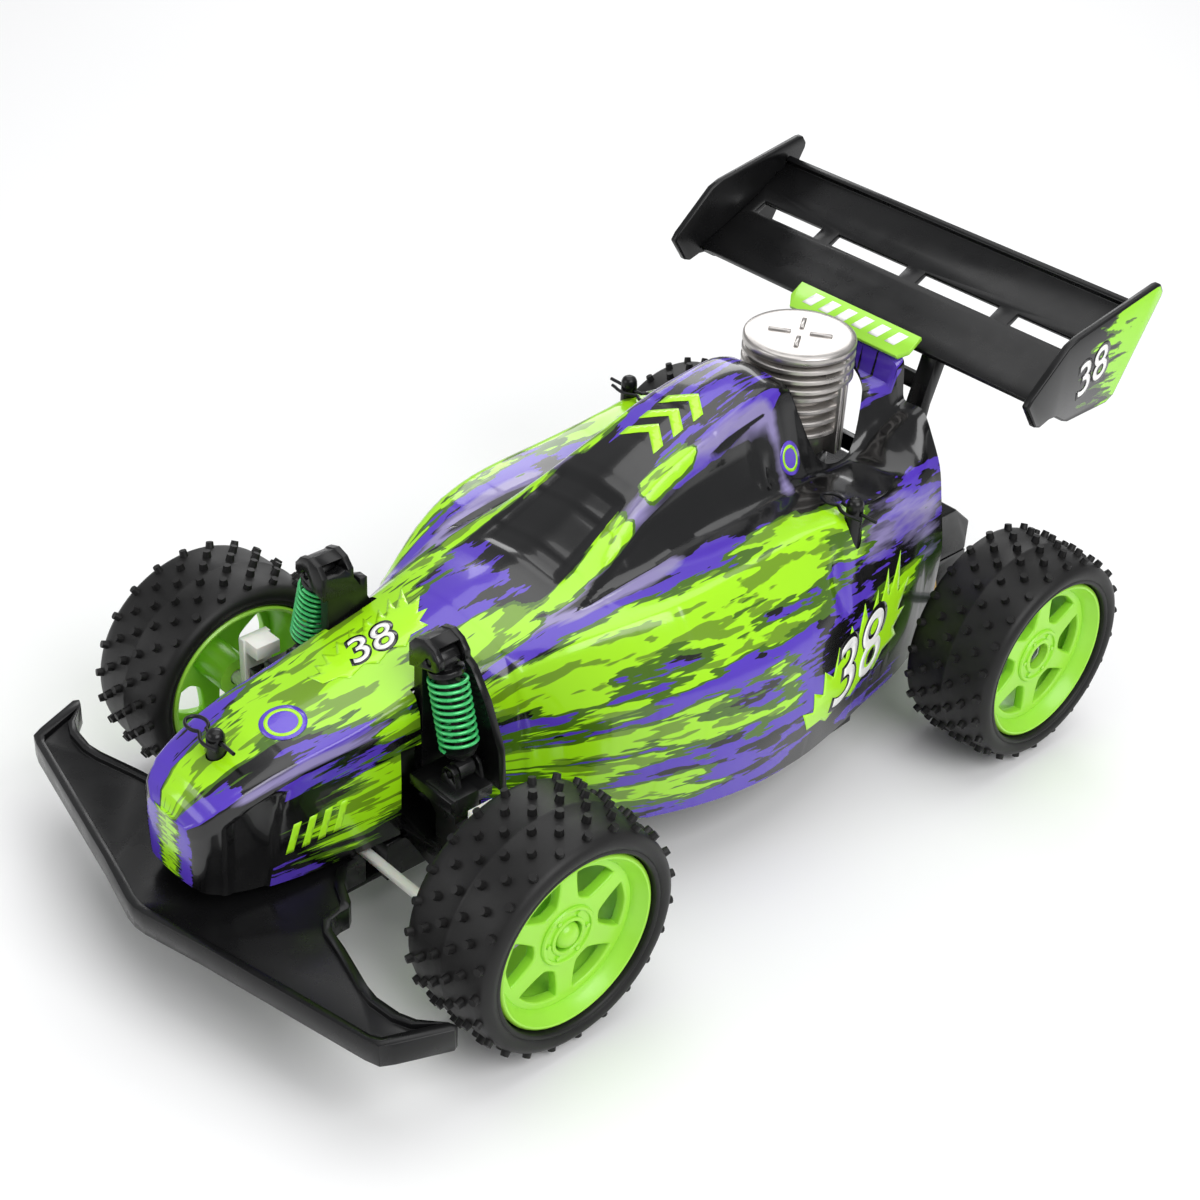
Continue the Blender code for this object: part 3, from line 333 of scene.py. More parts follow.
# Body shell
# Half sections from nose to tail in mm: y, then (x, z) for the crown, the ridge, the sill under the side
# window, the deck, the shoulder, the crease, the flank and the lower edge. The deck's own point is only
# written where it isn't half way from sill to shoulder. A place on the shell is (y, track): track 0 is
# the crown, 1 the ridge and so on to 7 at the lower edge.
shell = {
    "stations": [
        (-160.6, (0, 63.5), (9.5, 63.0), (11.4, 60.5), (12.0, 55), (11.6, 50), (11.3, 46), (11.0, 42.5)),
        (-159.0, (0, 67.4), (13.2, 66.2), (14.6, 62), (14.3, 55), (13.8, 50), (13.3, 45), (13.0, 41.0)),
        (-154.5, (0, 71.2), (15.6, 69.8), (17.0, 65), (16.8, 57), (16.4, 50), (16.0, 44), (15.6, 39.3)),
        (-147.0, (0, 75.2), (17.4, 73.4), (19.0, 68), (18.9, 60), (18.6, 52), (18.2, 44), (17.8, 37.8)),
        (-130.0, (0, 80.0), (19.6, 77.9), (21.4, 73), (21.6, 64), (21.4, 54), (21.0, 45), (20.4, 36.6)),
        (-112.0, (0, 82.6), (21.0, 80.2), (22.9, 75), (23.2, 66), (23.2, 55), (22.9, 45), (22.3, 36.2)),
        (-97.0, (0, 85.4), (21.6, 82.9), (23.8, 77), (24.4, 67), (24.6, 56), (24.4, 46), (23.8, 36.6)),
        (-84.0, (0, 88.0), (21.8, 85.2), (24.6, 80), (25.6, 70), (26.0, 58), (26.0, 47), (25.6, 37.0)),
        (-70.0, (0, 91.2), (21.8, 88.3), (26.2, 84.5), (29.2, 77), (31.2, 60), (31.6, 46), (31.0, 36.0)),
        (-60.0, (0, 93.4), (21.8, 90.6), (27.0, 88), (32.6, 82.5), (38.0, 63), (38.6, 46), (37.0, 32.0)),
        (-50.0, (0, 95.4), (21.8, 92.4), (27.8, 91), (36.6, 87.5), (45.8, 66), (46.4, 46), (43.6, 29.0)),
        (-38.0, (0, 96.8), (21.5, 94.2), (28.2, 94), (41.5, 92), (53.2, 69), (54.0, 46), (50.2, 27.0)),
        (-25.0, (0, 101.8), (20.4, 99.4), (28.4, 96), (46.0, 95), (59.2, 71), (60.0, 46), (56.0, 26.2)),
        (-10.0, (0, 109.2), (18.6, 107.2), (28.4, 97.4), (49.2, 96.6), (64.0, 72.4), (65.0, 46),
         (61.2, 26)),
        (3.0, (0, 115.6), (16.6, 113.8), (28.2, 98.2), (50.2, 97.4), (66.4, 73), (67.8, 46), (64.4, 26)),
        (20.0, (0, 122.2), (15.9, 120.6), (27.6, 98.8), (50.2, 98.4), (67.2, 72.8), (69.2, 46), (66.2, 26)),
        (36.0, (0, 127.4), (15.9, 125.8), (27.0, 99.6), (50.2, 99.6), (66.2, 72), (68.4, 46), (65.6, 26)),
        (50.0, (0, 131.0), (15.1, 129.3), (26.2, 100.2), (51.0, 100.6), (64.0, 71), (66.2, 46), (63.6, 26)),
        (63.0, (0, 133.0), (14.2, 131.4), (25.2, 100.2), (53.0, 100.6), (61.2, 70), (63.6, 46), (61.0, 26)),
        (74.0, (0, 131.0), (13.2, 128.0), (23.6, 99), (52.6, 100.2), (59.4, 69.4), (61.0, 46), (58.4, 26)),
        (84.0, (0, 124.0), (13.0, 119.0), (22.6, 96.6), (51.4, 99.6), (57.8, 69), (58.6, 46), (56.4, 26)),
        (96.0, (0, 118.0), (14.0, 113.5), (22.8, 97.2), (49.0, 98.8), (56.0, 68.6), (56.0, 46), (53.8, 26)),
        (105.0, (0, 119.0), (17.6, 118.0), (23.4, 105.0), (32.0, 104.6), (47.4, 98.0), (53.6, 68.4),
         (53.4, 46),
        (51.0, 26)),
        (111.6, (0, 121.0), (23.6, 120.6), (26.0, 112.0), (35.2, 111.6), (46.2, 97.8), (52.4, 68.4),
         (51.6, 46),
        (48.8, 26)),
        (112.6, (0, 129.6), (24.6, 129.0), (26.2, 113.0), (35.4, 112.8), (46.0, 97.8), (52.2, 68.4),
         (51.4, 46),
        (48.4, 26)),
        (115.8, (0, 131.2), (24.8, 130.6), (26.4, 114.6), (35.8, 115.4), (45.8, 98.0), (51.6, 68.6),
         (50.4, 46),
        (46.8, 26)),
    ],
    "rowStep": 1.35, "columns": (11, 10, 7, 7, 12, 9, 9), "wall": 1.3,
    "headHole": 22.6, "clipHole": 3.2, "towerSlot": (19.6, -96.6, -71.0, -89.4),
}


def steadyCurve(knots, values):
    # cubic through the values that never overshoots them
    steps = [b - a for a, b in zip(knots, knots[1:])]
    rises = [(b - a) / h for a, b, h in zip(values, values[1:], steps)]
    slopes = [rises[0]]
    for a, b in zip(rises, rises[1:]):
        slopes.append(0.0 if a * b <= 0 else 2 * a * b / (a + b))
    slopes.append(rises[-1])

    def at(t):
        k = max(0, min(len(steps) - 1, sum(1 for knot in knots[1:-1] if t >= knot)))
        h = steps[k]
        u = (t - knots[k]) / h
        return (values[k] * (1 + 2 * u) * (1 - u) ** 2 + slopes[k] * h * u * (1 - u) ** 2
                + values[k + 1] * u * u * (3 - 2 * u) + slopes[k + 1] * h * u * u * (u - 1))
    return at


def shellTracks():
    ys, halves = [], []
    for y, *half in shell["stations"]:
        if len(half) == 7:
            half.insert(3, ((half[2][0] + half[3][0]) / 2, (half[2][1] + half[3][1]) / 2 + 0.3))
        ys.append(y)
        halves.append(half)
    return ys, [(steadyCurve(ys, [h[k][0] for h in halves]), steadyCurve(ys, [h[k][1] for h in halves]))
                for k in range(8)]


stationYs, tracks = shellTracks()


def sectionAt(y):
    return [Vector((fx(y), fz(y))) for fx, fz in tracks]


def onShell(y, track):
    # (x, z) on the left half of the shell
    points = sectionAt(y)
    k = min(6, int(track))
    return points[k].lerp(points[k + 1], track - k)


trackWidth = 14.0      # mm that one track counts for where a distance on the shell is measured

# What is pressed into the shell, as outlines of (y, track), and how deep in mm
pressings = {
    "window": (1.3,
               [(-37, 2.28), (-26, 1.86), (-14, 1.54), (0, 1.38), (21, 1.30), (40, 1.30), (50, 1.34),
                (51, 1.93),
                     (26, 2.02), (-4, 2.26), (-30, 2.34)]),
    "slit": (0.9, [(26, 1.17), (40, 1.16), (57, 1.18), (59, 1.23), (40, 1.24)]),
    "pillarSlot": (1.0, [(54, 1.62), (57, 1.66), (56.6, 2.06), (53.6, 1.98)]),
    "windshield": (1.0, [(-32, -1.5), (-32, 0.86), (-1, 0.84), (-1, -1.5)]),
    "noseSide": (0.9,
                 [(-152.5, 2.3), (-146, 1.9), (-137, 1.95), (-134, 2.5), (-136.5, 4.0), (-141, 7.5),
                  (-152.5, 7.5)]),
    "rearFlank": (0.8, [(49, 4.55), (56, 4.1), (58, 4.98), (52, 5.0)]),
}

# Printed areas, and a lavender painted highlight where light catches the rails, sills and pillar: strokes
# of (y, track) with a half width in mm, and a peak below 1 where the print or the highlight is broken up
liveryAndHighlight = {
    "lime": [
        (5.0, [(-164, 0.0), (-143, 0.05), (-124, 0.1)], 0.85),
        (7, [(-124, 0.15), (-104, 0.4), (-88, 0.75), (-70, 1.05), (-50, 1.3)], 0.85),
        (5, [(-104, -0.4), (-84, -0.5), (-62, -0.6)], 0.6),
        (4.5, [(-38, 1.35), (-24, 1.30), (-8, 1.12)]),
        (3.0, [(8, 1.02), (24, 1.0)]),
        (12, [(-112, 5.2), (-98, 4.6)], 0.8),
        (7, [(-96, 2.0), (-78, 3.0), (-62, 4.0), (-42, 4.4)]),
        (8.0, [(-58, 4.0), (-36, 4.1), (-4, 4.1), (26, 4.0), (46, 3.9)], 0.8),
        (7, [(34, 3.75), (48, 3.66), (62, 3.8)], 0.8),
        (6, [(-70, 5.5), (-54, 5.6), (-34, 5.5)], 0.65),
        (6, [(-24, 5.4), (4, 5.5), (26, 5.4)], 0.58),
        (4, [(-40, 6.5), (-14, 6.4)], 0.62),
        (5, [(76, 5.1), (96, 5.0)], 0.54),
    ],
    "purple": [
        (4.0, [(-164, 0.75), (-158, 0.8), (-150, 0.9)]),
        (5.0, [(-164, -0.75), (-140, -0.9), (-120, -1.0), (-80, -0.95), (-45, -0.7)], 0.75),
        (5, [(-104, -0.1), (-84, 0.1), (-62, 0.2), (-44, 0.1)], 0.75),
        (5, [(-60, -0.5), (-40, -0.6)], 0.7),
        (4.5, [(-128, 1.25), (-110, 1.2), (-96, 1.3)], 0.75),
        (7.5, [(-62, 2.5), (-40, 2.9), (-16, 3.1), (8, 3.2), (34, 3.3)], 0.8),
        (5, [(-78, 4.9), (-50, 4.85), (-20, 4.85), (14, 4.9), (36, 4.8)], 0.85),
        (10, [(-62, 6.2), (-36, 6.2), (-14, 6.6), (14, 7.0)], 0.72),
        (6, [(-50, 5.9), (-22, 6.0), (10, 5.9), (34, 5.7)], 0.66),
        (4.5, [(34, 0.75), (48, 0.9), (62, 0.95)], 0.6),
        (4, [(22, 0.95), (36, 0.95)], 0.62),
        (6, [(40, 0.2), (66, 0.4), (76, 0.6)], 0.56),
        (6, [(-131, 2.6), (-118, 3.0), (-104, 3.2)], 0.7),
        (4, [(-142, 6.6), (-130, 6.8)], 0.7),
        (9, [(40, 4.6), (56, 4.55)], 0.62),
        (12, [(66, 4.15), (84, 4.2), (100, 4.3)], 0.6),
        (9, [(98, 3.9), (114, 4.3)], 0.58),
        (5, [(112, 0.9), (116, 0.4)], 0.7),
        (7, [(60, 6.7), (88, 6.9)], 0.6),
    ],
    # painted highlight, not print: soft light lavender bands where light catches the rounded rails, the
    # sill under the side window, the pillar and the rear deck
    "lavender": [
        (3.4, [(-56, 1.7), (-44, 1.9), (-34, 2.42), (-16, 2.5), (2, 2.44)], 0.8),
        (2.6, [(-44, 1.8), (-24, 1.5), (-10, 1.3)], 0.8),
        (1.8, [(-6, 1.16), (14, 1.10), (38, 1.08), (58, 1.1)], 0.66),
        (3.0, [(59, 1.2), (61, 1.7), (60, 2.2)], 0.58),
        (8, [(72, 4.4), (88, 4.35), (106, 4.5)], 0.56),
        (2.6, [(-146, 1.3), (-122, 1.5), (-100, 1.7)], 0.7),
    ],
}


def nearest(points, line):
    # distance in mm from each (y, track) place to a line of such places
    best = np.full(len(points), 1e9)
    line = np.array(line, float) * (1, trackWidth)
    for a, b in zip(line, line[1:]):
        run = b - a
        t = np.clip((points - a) @ run / max(run @ run, 1e-9), 0, 1)
        best = np.minimum(best, np.linalg.norm(points - a - t[:, None] * run, axis=1))
    return best


def insideOf(points, outline):
    # distance in mm to the outline, positive inside it
    closed = outline + outline[:1]
    inside = np.zeros(len(points), bool)
    for (ay, av), (by, bv) in zip(closed, closed[1:]):
        av, bv = av * trackWidth, bv * trackWidth
        if av != bv:
            crosses = (av > points[:, 1]) != (bv > points[:, 1])
            inside ^= crosses & (points[:, 0] < (by - ay) * (points[:, 1] - av) / (bv - av) + ay)
    return np.where(inside, 1, -1) * nearest(points, closed)


def smoothStep(value, low, high):
    t = np.clip((value - low) / (high - low), 0, 1)
    return t * t * (3 - 2 * t)


def printedShell():
    # clear-coated plastic printed in streaks: crisp brushed edges between lime, olive, purple and black,
    # with a soft lavender painted highlight along the rails and sills, under one even gloss
    finish, tree, shader = startMaterial("printedShellWithPaintedHighlight", Specular_IOR_Level=0.4, Coat_Weight=0.5,
                                         Coat_Roughness=0.05)
    along = addNode(tree, "ShaderNodeUVMap", {"uv_map": "along"}).outputs["UV"]
    first = addNode(tree, "ShaderNodeSeparateXYZ", links={
        "Vector": addNode(tree, "ShaderNodeUVMap", {"uv_map": "printA"}).outputs["UV"]}).outputs
    # the second map holds the lavender painted highlight and the dark windows
    second = addNode(tree, "ShaderNodeSeparateXYZ", links={
        "Vector": addNode(tree, "ShaderNodeUVMap", {"uv_map": "printB"}).outputs["UV"]}).outputs

    def streaks(length, width, seed, detail=3.0):
        # brush marks of that length and width in mm
        turn = addNode(tree, "ShaderNodeMapping", links={"Vector": along, "Location": (seed, seed * 0.7, 0),
                                                       "Scale": (1 / (length * mm), 1 / (width * mm), 1)})
        return addNode(tree, "ShaderNodeTexNoise", {"noise_dimensions": '2D'},
                       {"Vector": turn.outputs["Vector"], "Scale": 1.0, "Detail": detail,
                        "Roughness": 0.62}).outputs["Fac"]

    def printed(field, noise, reach, level, softness=0.012):
        # 1 where the field, pushed about by the noise, is above the level
        push = addNode(tree, "ShaderNodeMath", {"operation": "MULTIPLY_ADD"},
                       {0: noise, 1: reach, 2: field}).outputs[0]
        return addNode(tree, "ShaderNodeMapRange", links={
            "Value": push, "From Min": level + reach / 2 - softness,
            "From Max": level + reach / 2 + softness}).outputs["Result"]

    def over(under, mask, colour):
        return addNode(tree, "ShaderNodeMix", {"data_type": "RGBA"},
                       {"Factor": mask, "A": under, "B": colour}).outputs["Result"]

    brush, brushTwo, blotch = streaks(34, 5.5, 3.1), streaks(26, 5.0, 8.7), streaks(24, 6.0, 15.3, 2.0)
    colour = over(linear("#0A0A0B"), printed(first["Y"], brushTwo, 1.3, 0.5), linear("#5438B8"))
    # painted highlight: soft-edged light lavender where light catches the rails, sills and pillar, laid
    # through the same mask helper as the print
    colour = over(colour, printed(second["X"], brush, 0.9, 0.5, 0.16), linear("#8E84B4"))
    colour = over(colour, printed(first["X"], brush, 1.15, 0.37), linear("#456A10"))
    lime = over(linear("#A4E617"), printed(blotch, brushTwo, 0.5, 0.56), linear("#6F981A"))
    colour = over(colour, printed(first["X"], brush, 1.15, 0.5), lime)
    window = addNode(tree, "ShaderNodeMapRange",
                     links={"Value": second["Y"], "From Min": -0.05, "From Max": 0.12})
    colour = over(colour, window.outputs["Result"], linear("#0B0B0C"))
    tree.links.new(colour, shader.inputs["Base Color"])
    ripple = addNode(tree, "ShaderNodeTexNoise", links={
        "Vector": addNode(tree, "ShaderNodeTexCoord").outputs["Object"], "Scale": 1 / (11 * mm),
        "Detail": 2.0})
    gloss = addNode(tree, "ShaderNodeMapRange",
                    links={"Value": ripple.outputs["Fac"], "To Min": 0.14, "To Max": 0.28})
    tree.links.new(gloss.outputs["Result"], shader.inputs["Roughness"])
    bumpFrom(tree, shader, ripple.outputs["Fac"], 0.25, 0.25)
    return finish


def bodyShell():
    counts = shell["columns"]
    marks = [k + i / n for k, n in enumerate(counts) for i in range(n)] + [7.0]
    ys = sorted(set(stationYs) | {stationYs[0] + shell["rowStep"] * i
                                  for i in range(int((stationYs[-1] - stationYs[0]) / shell["rowStep"])
                                                 + 1)})
    ys = [y for k, y in enumerate(ys) if y in stationYs or all(abs(y - other) > 0.5 for other in stationYs)]
    rows = []
    for y in ys:
        points = sectionAt(y)
        line = np.array([points[min(6, int(t))].lerp(points[min(6, int(t)) + 1], t - min(6, int(t)))
                         for t in marks])
        for _ in range(3):
            line[1:-1] = (line[:-2] + 2 * line[1:-1] + line[2:]) / 4
            line[0, 1] = line[1, 1] * 0.5 + line[0, 1] * 0.5
        rows.append(line)
    rows = np.array(rows)
    # softens the bends between stations, but not the step up to the tail pylon or the nose's edge
    keep = np.array([y < -158 or 108 < y for y in ys])
    for _ in range(4):
        eased = (rows[:-2] + 2 * rows[1:-1] + rows[2:]) / 4
        rows[1:-1] = np.where(keep[1:-1, None, None], rows[1:-1], eased)
    # the nose closes with a slightly bowed face
    front = [rows[0] * (share, 1) for share in (0.0, 0.35, 0.7, 0.92)]
    rows = np.array(front + list(rows))
    ys = [ys[0] - 0.9, ys[0] - 0.85, ys[0] - 0.6, ys[0] - 0.25] + ys

    left = np.concatenate([np.stack([rows[r][:, 0], np.full(len(marks), y), rows[r][:, 1]], 1)[None] for r,
                           y in enumerate(ys)])
    right = left[:, :0:-1] * (-1, 1, 1)
    grid = np.concatenate([right, left], axis=1)
    tracksAcross = np.array([-t for t in marks[:0:-1]] + marks)
    lengthways = np.gradient(grid, axis=0)
    across = np.gradient(grid, axis=1)
    normal = np.cross(across, lengthways)
    normal /= np.maximum(np.linalg.norm(normal, axis=2, keepdims=True), 1e-9)
    outward = grid - np.array([0, 0, 60.0]) * (1, 0, 1)
    outward[:, :, 1] = 0
    normal *= np.sign(np.sum(normal * outward, axis=2, keepdims=True) + 1e-6)

    places = np.stack(np.meshgrid(ys, np.zeros(len(tracksAcross)), indexing="ij"), 2)
    places[:, :, 1] = tracksAcross * trackWidth
    places[:4, :, 1] = grid[:4, :, 0] * trackWidth / 10.5
    flat = places.reshape(-1, 2)
    folded = flat * (1, 1)
    folded[:, 1] = np.abs(folded[:, 1])
    depth = np.zeros(len(flat))
    dark = np.full(len(flat), -5.0)
    for title, (deep, outline) in pressings.items():
        inside = insideOf(folded, outline)
        depth = np.maximum(depth, deep * smoothStep(inside, -0.3, 1.6))
        if title != "rearFlank":
            dark = np.maximum(dark, inside)
    grid = grid - normal * depth.reshape(grid.shape[:2])[:, :, None]

    def field(strokes):
        strongest = np.zeros(len(flat))
        for width, line, *peak in strokes:
            where = flat if any(t < 0 for _, t in line) else folded
            top = peak[0] if peak else 1.0
            strongest = np.maximum(strongest,
                                   top - nearest(where, line) * (top - 0.5 if top > 0.6 else 0.3) / width)
        return strongest

    fields = {"printA": (field(liveryAndHighlight["lime"]), field(liveryAndHighlight["purple"])),
              # the second map holds the lavender painted highlight and the dark windows
              "printB": (field(liveryAndHighlight["lavender"]), dark)}
    span = np.concatenate([[0], np.cumsum(np.linalg.norm(np.diff(grid[len(ys) // 2], axis=0), axis=1))])
    fields["along"] = (flat[:, 0] * mm, np.tile(span * mm, len(ys)))

    bm = bmesh.new()
    verts = [bm.verts.new(Vector(p) * mm) for p in grid.reshape(-1, 3)]
    wide = len(tracksAcross)
    layers = {title: bm.loops.layers.uv.new(title) for title in fields}
    index = {v: k for k, v in enumerate(verts)}
    for r in range(len(ys) - 1):
        for c in range(wide - 1):
            corners = [r * wide + c, r * wide + c + 1, (r + 1) * wide + c + 1, (r + 1) * wide + c]
            face = bm.faces.new([verts[k] for k in corners])
            for loop in face.loops:
                k = index[loop.vert]
                for title, (a, b) in fields.items():
                    loop[layers[title]].uv = (a[k], b[k])
    bmesh.ops.remove_doubles(bm, verts=bm.verts, dist=0.00002)
    bmesh.ops.recalc_face_normals(bm, faces=bm.faces)
    top = max(bm.faces, key=lambda f: f.calc_center_median().z)
    if top.normal.z < 0:
        bmesh.ops.reverse_faces(bm, faces=bm.faces)
    made = toObject("body_shell_printed", bm, printedShell(), 0)
    made.data.materials.append(black)
    wall = made.modifiers.new("wall", 'SOLIDIFY')
    wall.thickness = shell["wall"] * mm
    wall.offset = -1
    wall.material_offset = 1
    settle(made)

    cutters = []

    def addCutter(name, bm):
        bmesh.ops.recalc_face_normals(bm, faces=bm.faces)
        cutter = toObject(name, bm, black, 0)
        cutters.append(cutter)
    cutterMesh = bmesh.new()
    bmesh.ops.create_cone(cutterMesh, cap_ends=True, segments=72, radius1=shell["headHole"] * mm,
                          radius2=shell["headHole"] * mm, depth=0.09,
                          matrix=Matrix.Translation((0, middle("engine_head").y, 0.115)))
    addCutter("hole_head", cutterMesh)
    for place in ("front", "left", "right"):
        cutterMesh = bmesh.new()
        spot = middle("body_post_" + place)
        bmesh.ops.create_cone(cutterMesh, cap_ends=True, segments=24, radius1=shell["clipHole"] * mm,
                              radius2=shell["clipHole"] * mm, depth=0.05,
                              matrix=Matrix.Translation((spot.x, spot.y, 0.092)))
        addCutter("hole_" + place, cutterMesh)
    # the slot beside the nose is wider below, where the arm swings, than above, where the tower stands
    near, front, back, towerFront = shell["towerSlot"]
    for side in (1, -1):
        for start, low, high in ((front, 0.02, 0.068), (towerFront, 0.06, 0.12)):
            cutterMesh = bmesh.new()
            addBox(cutterMesh, (side * (near + 15) * mm - 0.015, start * mm, low),
                   (side * (near + 15) * mm + 0.015, back * mm, high))
            addCutter("slot", cutterMesh)
    for cutter in cutters:
        cut = made.modifiers.new("cut", 'BOOLEAN')
        cut.object = cutter
        cut.operation = 'DIFFERENCE'
        settle(made)
        bpy.data.objects.remove(cutter, do_unlink=True)
    made.data.shade_smooth()
    made.data.set_sharp_from_angle(angle=math.radians(42))
    return fit(made, "chassis", "lime_shell", "body_shell")


bodyShell()
print("body shell done")


# Geometry node helpers
def startTree(name, inputs):
    # inputs: name -> (kind of socket, value); the values are set on the modifier by applyTree
    tree = bpy.data.node_groups.new(name, 'GeometryNodeTree')
    tree.interface.new_socket("Geometry", in_out='INPUT', socket_type='NodeSocketGeometry')
    tree.interface.new_socket("Geometry", in_out='OUTPUT', socket_type='NodeSocketGeometry')
    for label, (kind, _) in inputs.items():
        tree.interface.new_socket(label, in_out='INPUT', socket_type="NodeSocket" + kind)
    return tree, tree.nodes.new("NodeGroupInput").outputs


def finishTree(tree, geometry, material):
    real = addNode(tree, "GeometryNodeRealizeInstances", links={"Geometry": geometry})
    painted = addNode(tree, "GeometryNodeSetMaterial",
                      links={"Geometry": real.outputs[0], "Material": material})
    addNode(tree, "NodeGroupOutput", links={"Geometry": painted.outputs[0]})


def applyTree(thing, tree, inputs):
    grown = thing.modifiers.new("grown", 'NODES')
    grown.node_group = tree
    identifiers = {item.name: item.identifier for item in tree.interface.items_tree
                   if item.in_out == 'INPUT'}
    for label, (_, value) in inputs.items():
        grown[identifiers[label]] = value
    return settle(thing)


def sums(tree, operation, *values):
    return addNode(tree, "ShaderNodeMath", {"operation": operation}, dict(enumerate(values))).outputs[0]


# Wheels
tread = {"Rows": ("Int", 6), "Knobs In Row": ("Int", 23), "Tread Radius": ("Float", 36.7 * mm),
         "Row Pitch": ("Float", 5.6 * mm), "Crown Drop": ("Float", 0.95 * mm),
         "Knob Radius": ("Float", 1.5 * mm),
         "Knob Height": ("Float", 2.45 * mm)}
wheelSizes = {"halfWidth": 17.2, "bead": 29.4, "crown": 36.9, "spokes": 6}


def treadTree():
    tree, given = startTree("roundKnobTread", tread)
    index = addNode(tree, "GeometryNodeInputIndex").outputs[0]
    row = sums(tree, 'FLOOR', sums(tree, 'DIVIDE', index, given["Knobs In Row"]))
    place = sums(tree, 'MODULO', index, given["Knobs In Row"])
    stagger = sums(tree, 'MULTIPLY', sums(tree, 'MODULO', row, 2.0), 0.5)
    angle = sums(tree, 'MULTIPLY',
                 sums(tree, 'DIVIDE', sums(tree, 'ADD', place, stagger), given["Knobs In Row"]),
                 2 * math.pi)
    centred = sums(tree, 'SUBTRACT', row,
                   sums(tree, 'MULTIPLY', sums(tree, 'SUBTRACT', given["Rows"], 1.0), 0.5))
    across = sums(tree, 'MULTIPLY', centred, given["Row Pitch"])
    share = sums(tree, 'DIVIDE', centred, sums(tree, 'MULTIPLY', given["Rows"], 0.5))
    drop = sums(tree, 'MULTIPLY', sums(tree, 'POWER', sums(tree, 'ABSOLUTE', share), 3.0),
                sums(tree, 'MULTIPLY', given["Crown Drop"], 1.7))
    radius = sums(tree, 'SUBTRACT',
                  sums(tree, 'ADD', given["Tread Radius"],
                       sums(tree, 'MULTIPLY', given["Knob Height"], -0.05)), drop)
    sine, cosine = sums(tree, 'SINE', angle), sums(tree, 'COSINE', angle)
    spot = addNode(tree, "ShaderNodeCombineXYZ",
                   links={"X": across, "Y": sums(tree, 'MULTIPLY', radius, cosine),
                                                       "Z": sums(tree, 'MULTIPLY', radius,
                                                                 sine)}).outputs[0]
    lean = addNode(tree, "ShaderNodeCombineXYZ",
                   links={"X": sums(tree, 'MULTIPLY', sums(tree, 'POWER', share, 3.0), 0.5),
                                                       "Y": cosine, "Z": sine}).outputs[0]
    count = sums(tree, 'MULTIPLY', given["Rows"], given["Knobs In Row"])
    points = addNode(tree, "GeometryNodePoints", links={"Count": count, "Position": spot}).outputs[0]
    knob = addNode(tree, "GeometryNodeMeshCone", links={
        "Vertices": 12, "Radius Top": sums(tree, 'MULTIPLY', given["Knob Radius"], 0.8),
        "Radius Bottom": given["Knob Radius"],
        "Depth": given["Knob Height"]}).outputs["Mesh"]
    turn = addNode(tree, "FunctionNodeAlignRotationToVector", {"axis": 'Z'}, {"Vector": lean}).outputs[0]
    knobs = addNode(tree, "GeometryNodeInstanceOnPoints",
                    links={"Points": points, "Instance": knob, "Rotation": turn}).outputs[0]
    joined = addNode(tree, "GeometryNodeJoinGeometry")
    tree.links.new(given["Geometry"], joined.inputs[0])
    tree.links.new(knobs, joined.inputs[0])
    finishTree(tree, joined.outputs[0], rubber)
    return tree


def tyre(node, body, knobTree):
    w, crown, bead = wheelSizes["halfWidth"], wheelSizes["crown"], wheelSizes["bead"]
    half = [(bead, w - 1.2), (bead + 0.3, w - 0.5), (bead + 1.0, w - 0.2), (bead + 1.6, w - 0.5),
            (bead + 2.2, w + 0.1),
            (bead + 4.0, w + 0.3), (crown - 2.4, w - 0.2), (crown - 1.4, w - 0.9), (crown - 0.8, w - 2.2),
            (crown - 0.5, w - 4.6),
            (crown - 0.15, 6.0), (crown, 0.55), (crown + 0.22, 0.0)]
    profile = half + [(r, -x) for r, x in reversed(half[:-1])]
    made = turned(node + "_knobbed", profile, (0, 0, 0), "x", rubber, 96, 50)
    applyTree(made, knobTree, tread)
    made.data.transform(Matrix.Translation(middle(node)))
    made.data.set_sharp_from_angle(angle=math.radians(50))
    return fit(made, body, "tyre_rubber", node)


def roundedWindow(middleAngle):
    # one opening between two spokes as a smooth closed outline, its corners cut back three times
    corners = [(11.6, -0.12), (12.6, -0.27), (21.8, -0.42), (22.9, -0.37), (23.5, 0.0), (22.9, 0.37),
               (21.8, 0.42),
               (12.6, 0.27), (11.6, 0.12)]
    line = [Vector((r * math.cos(middleAngle + a), r * math.sin(middleAngle + a))) for r, a in corners]
    for _ in range(3):
        line = [p for a, b in zip(line, line[1:] + line[:1]) for p in (a.lerp(b, 0.25), a.lerp(b, 0.75))]
    return line


def joinInto(target, *others):
    bm = bmesh.new()
    bm.from_mesh(target.data)
    for other in others:
        bm.from_mesh(other.data)
        bpy.data.objects.remove(other, do_unlink=True)
    bm.to_mesh(target.data)
    bm.free()
    target.data.shade_smooth()
    target.data.set_sharp_from_angle(angle=math.radians(38))
    return target


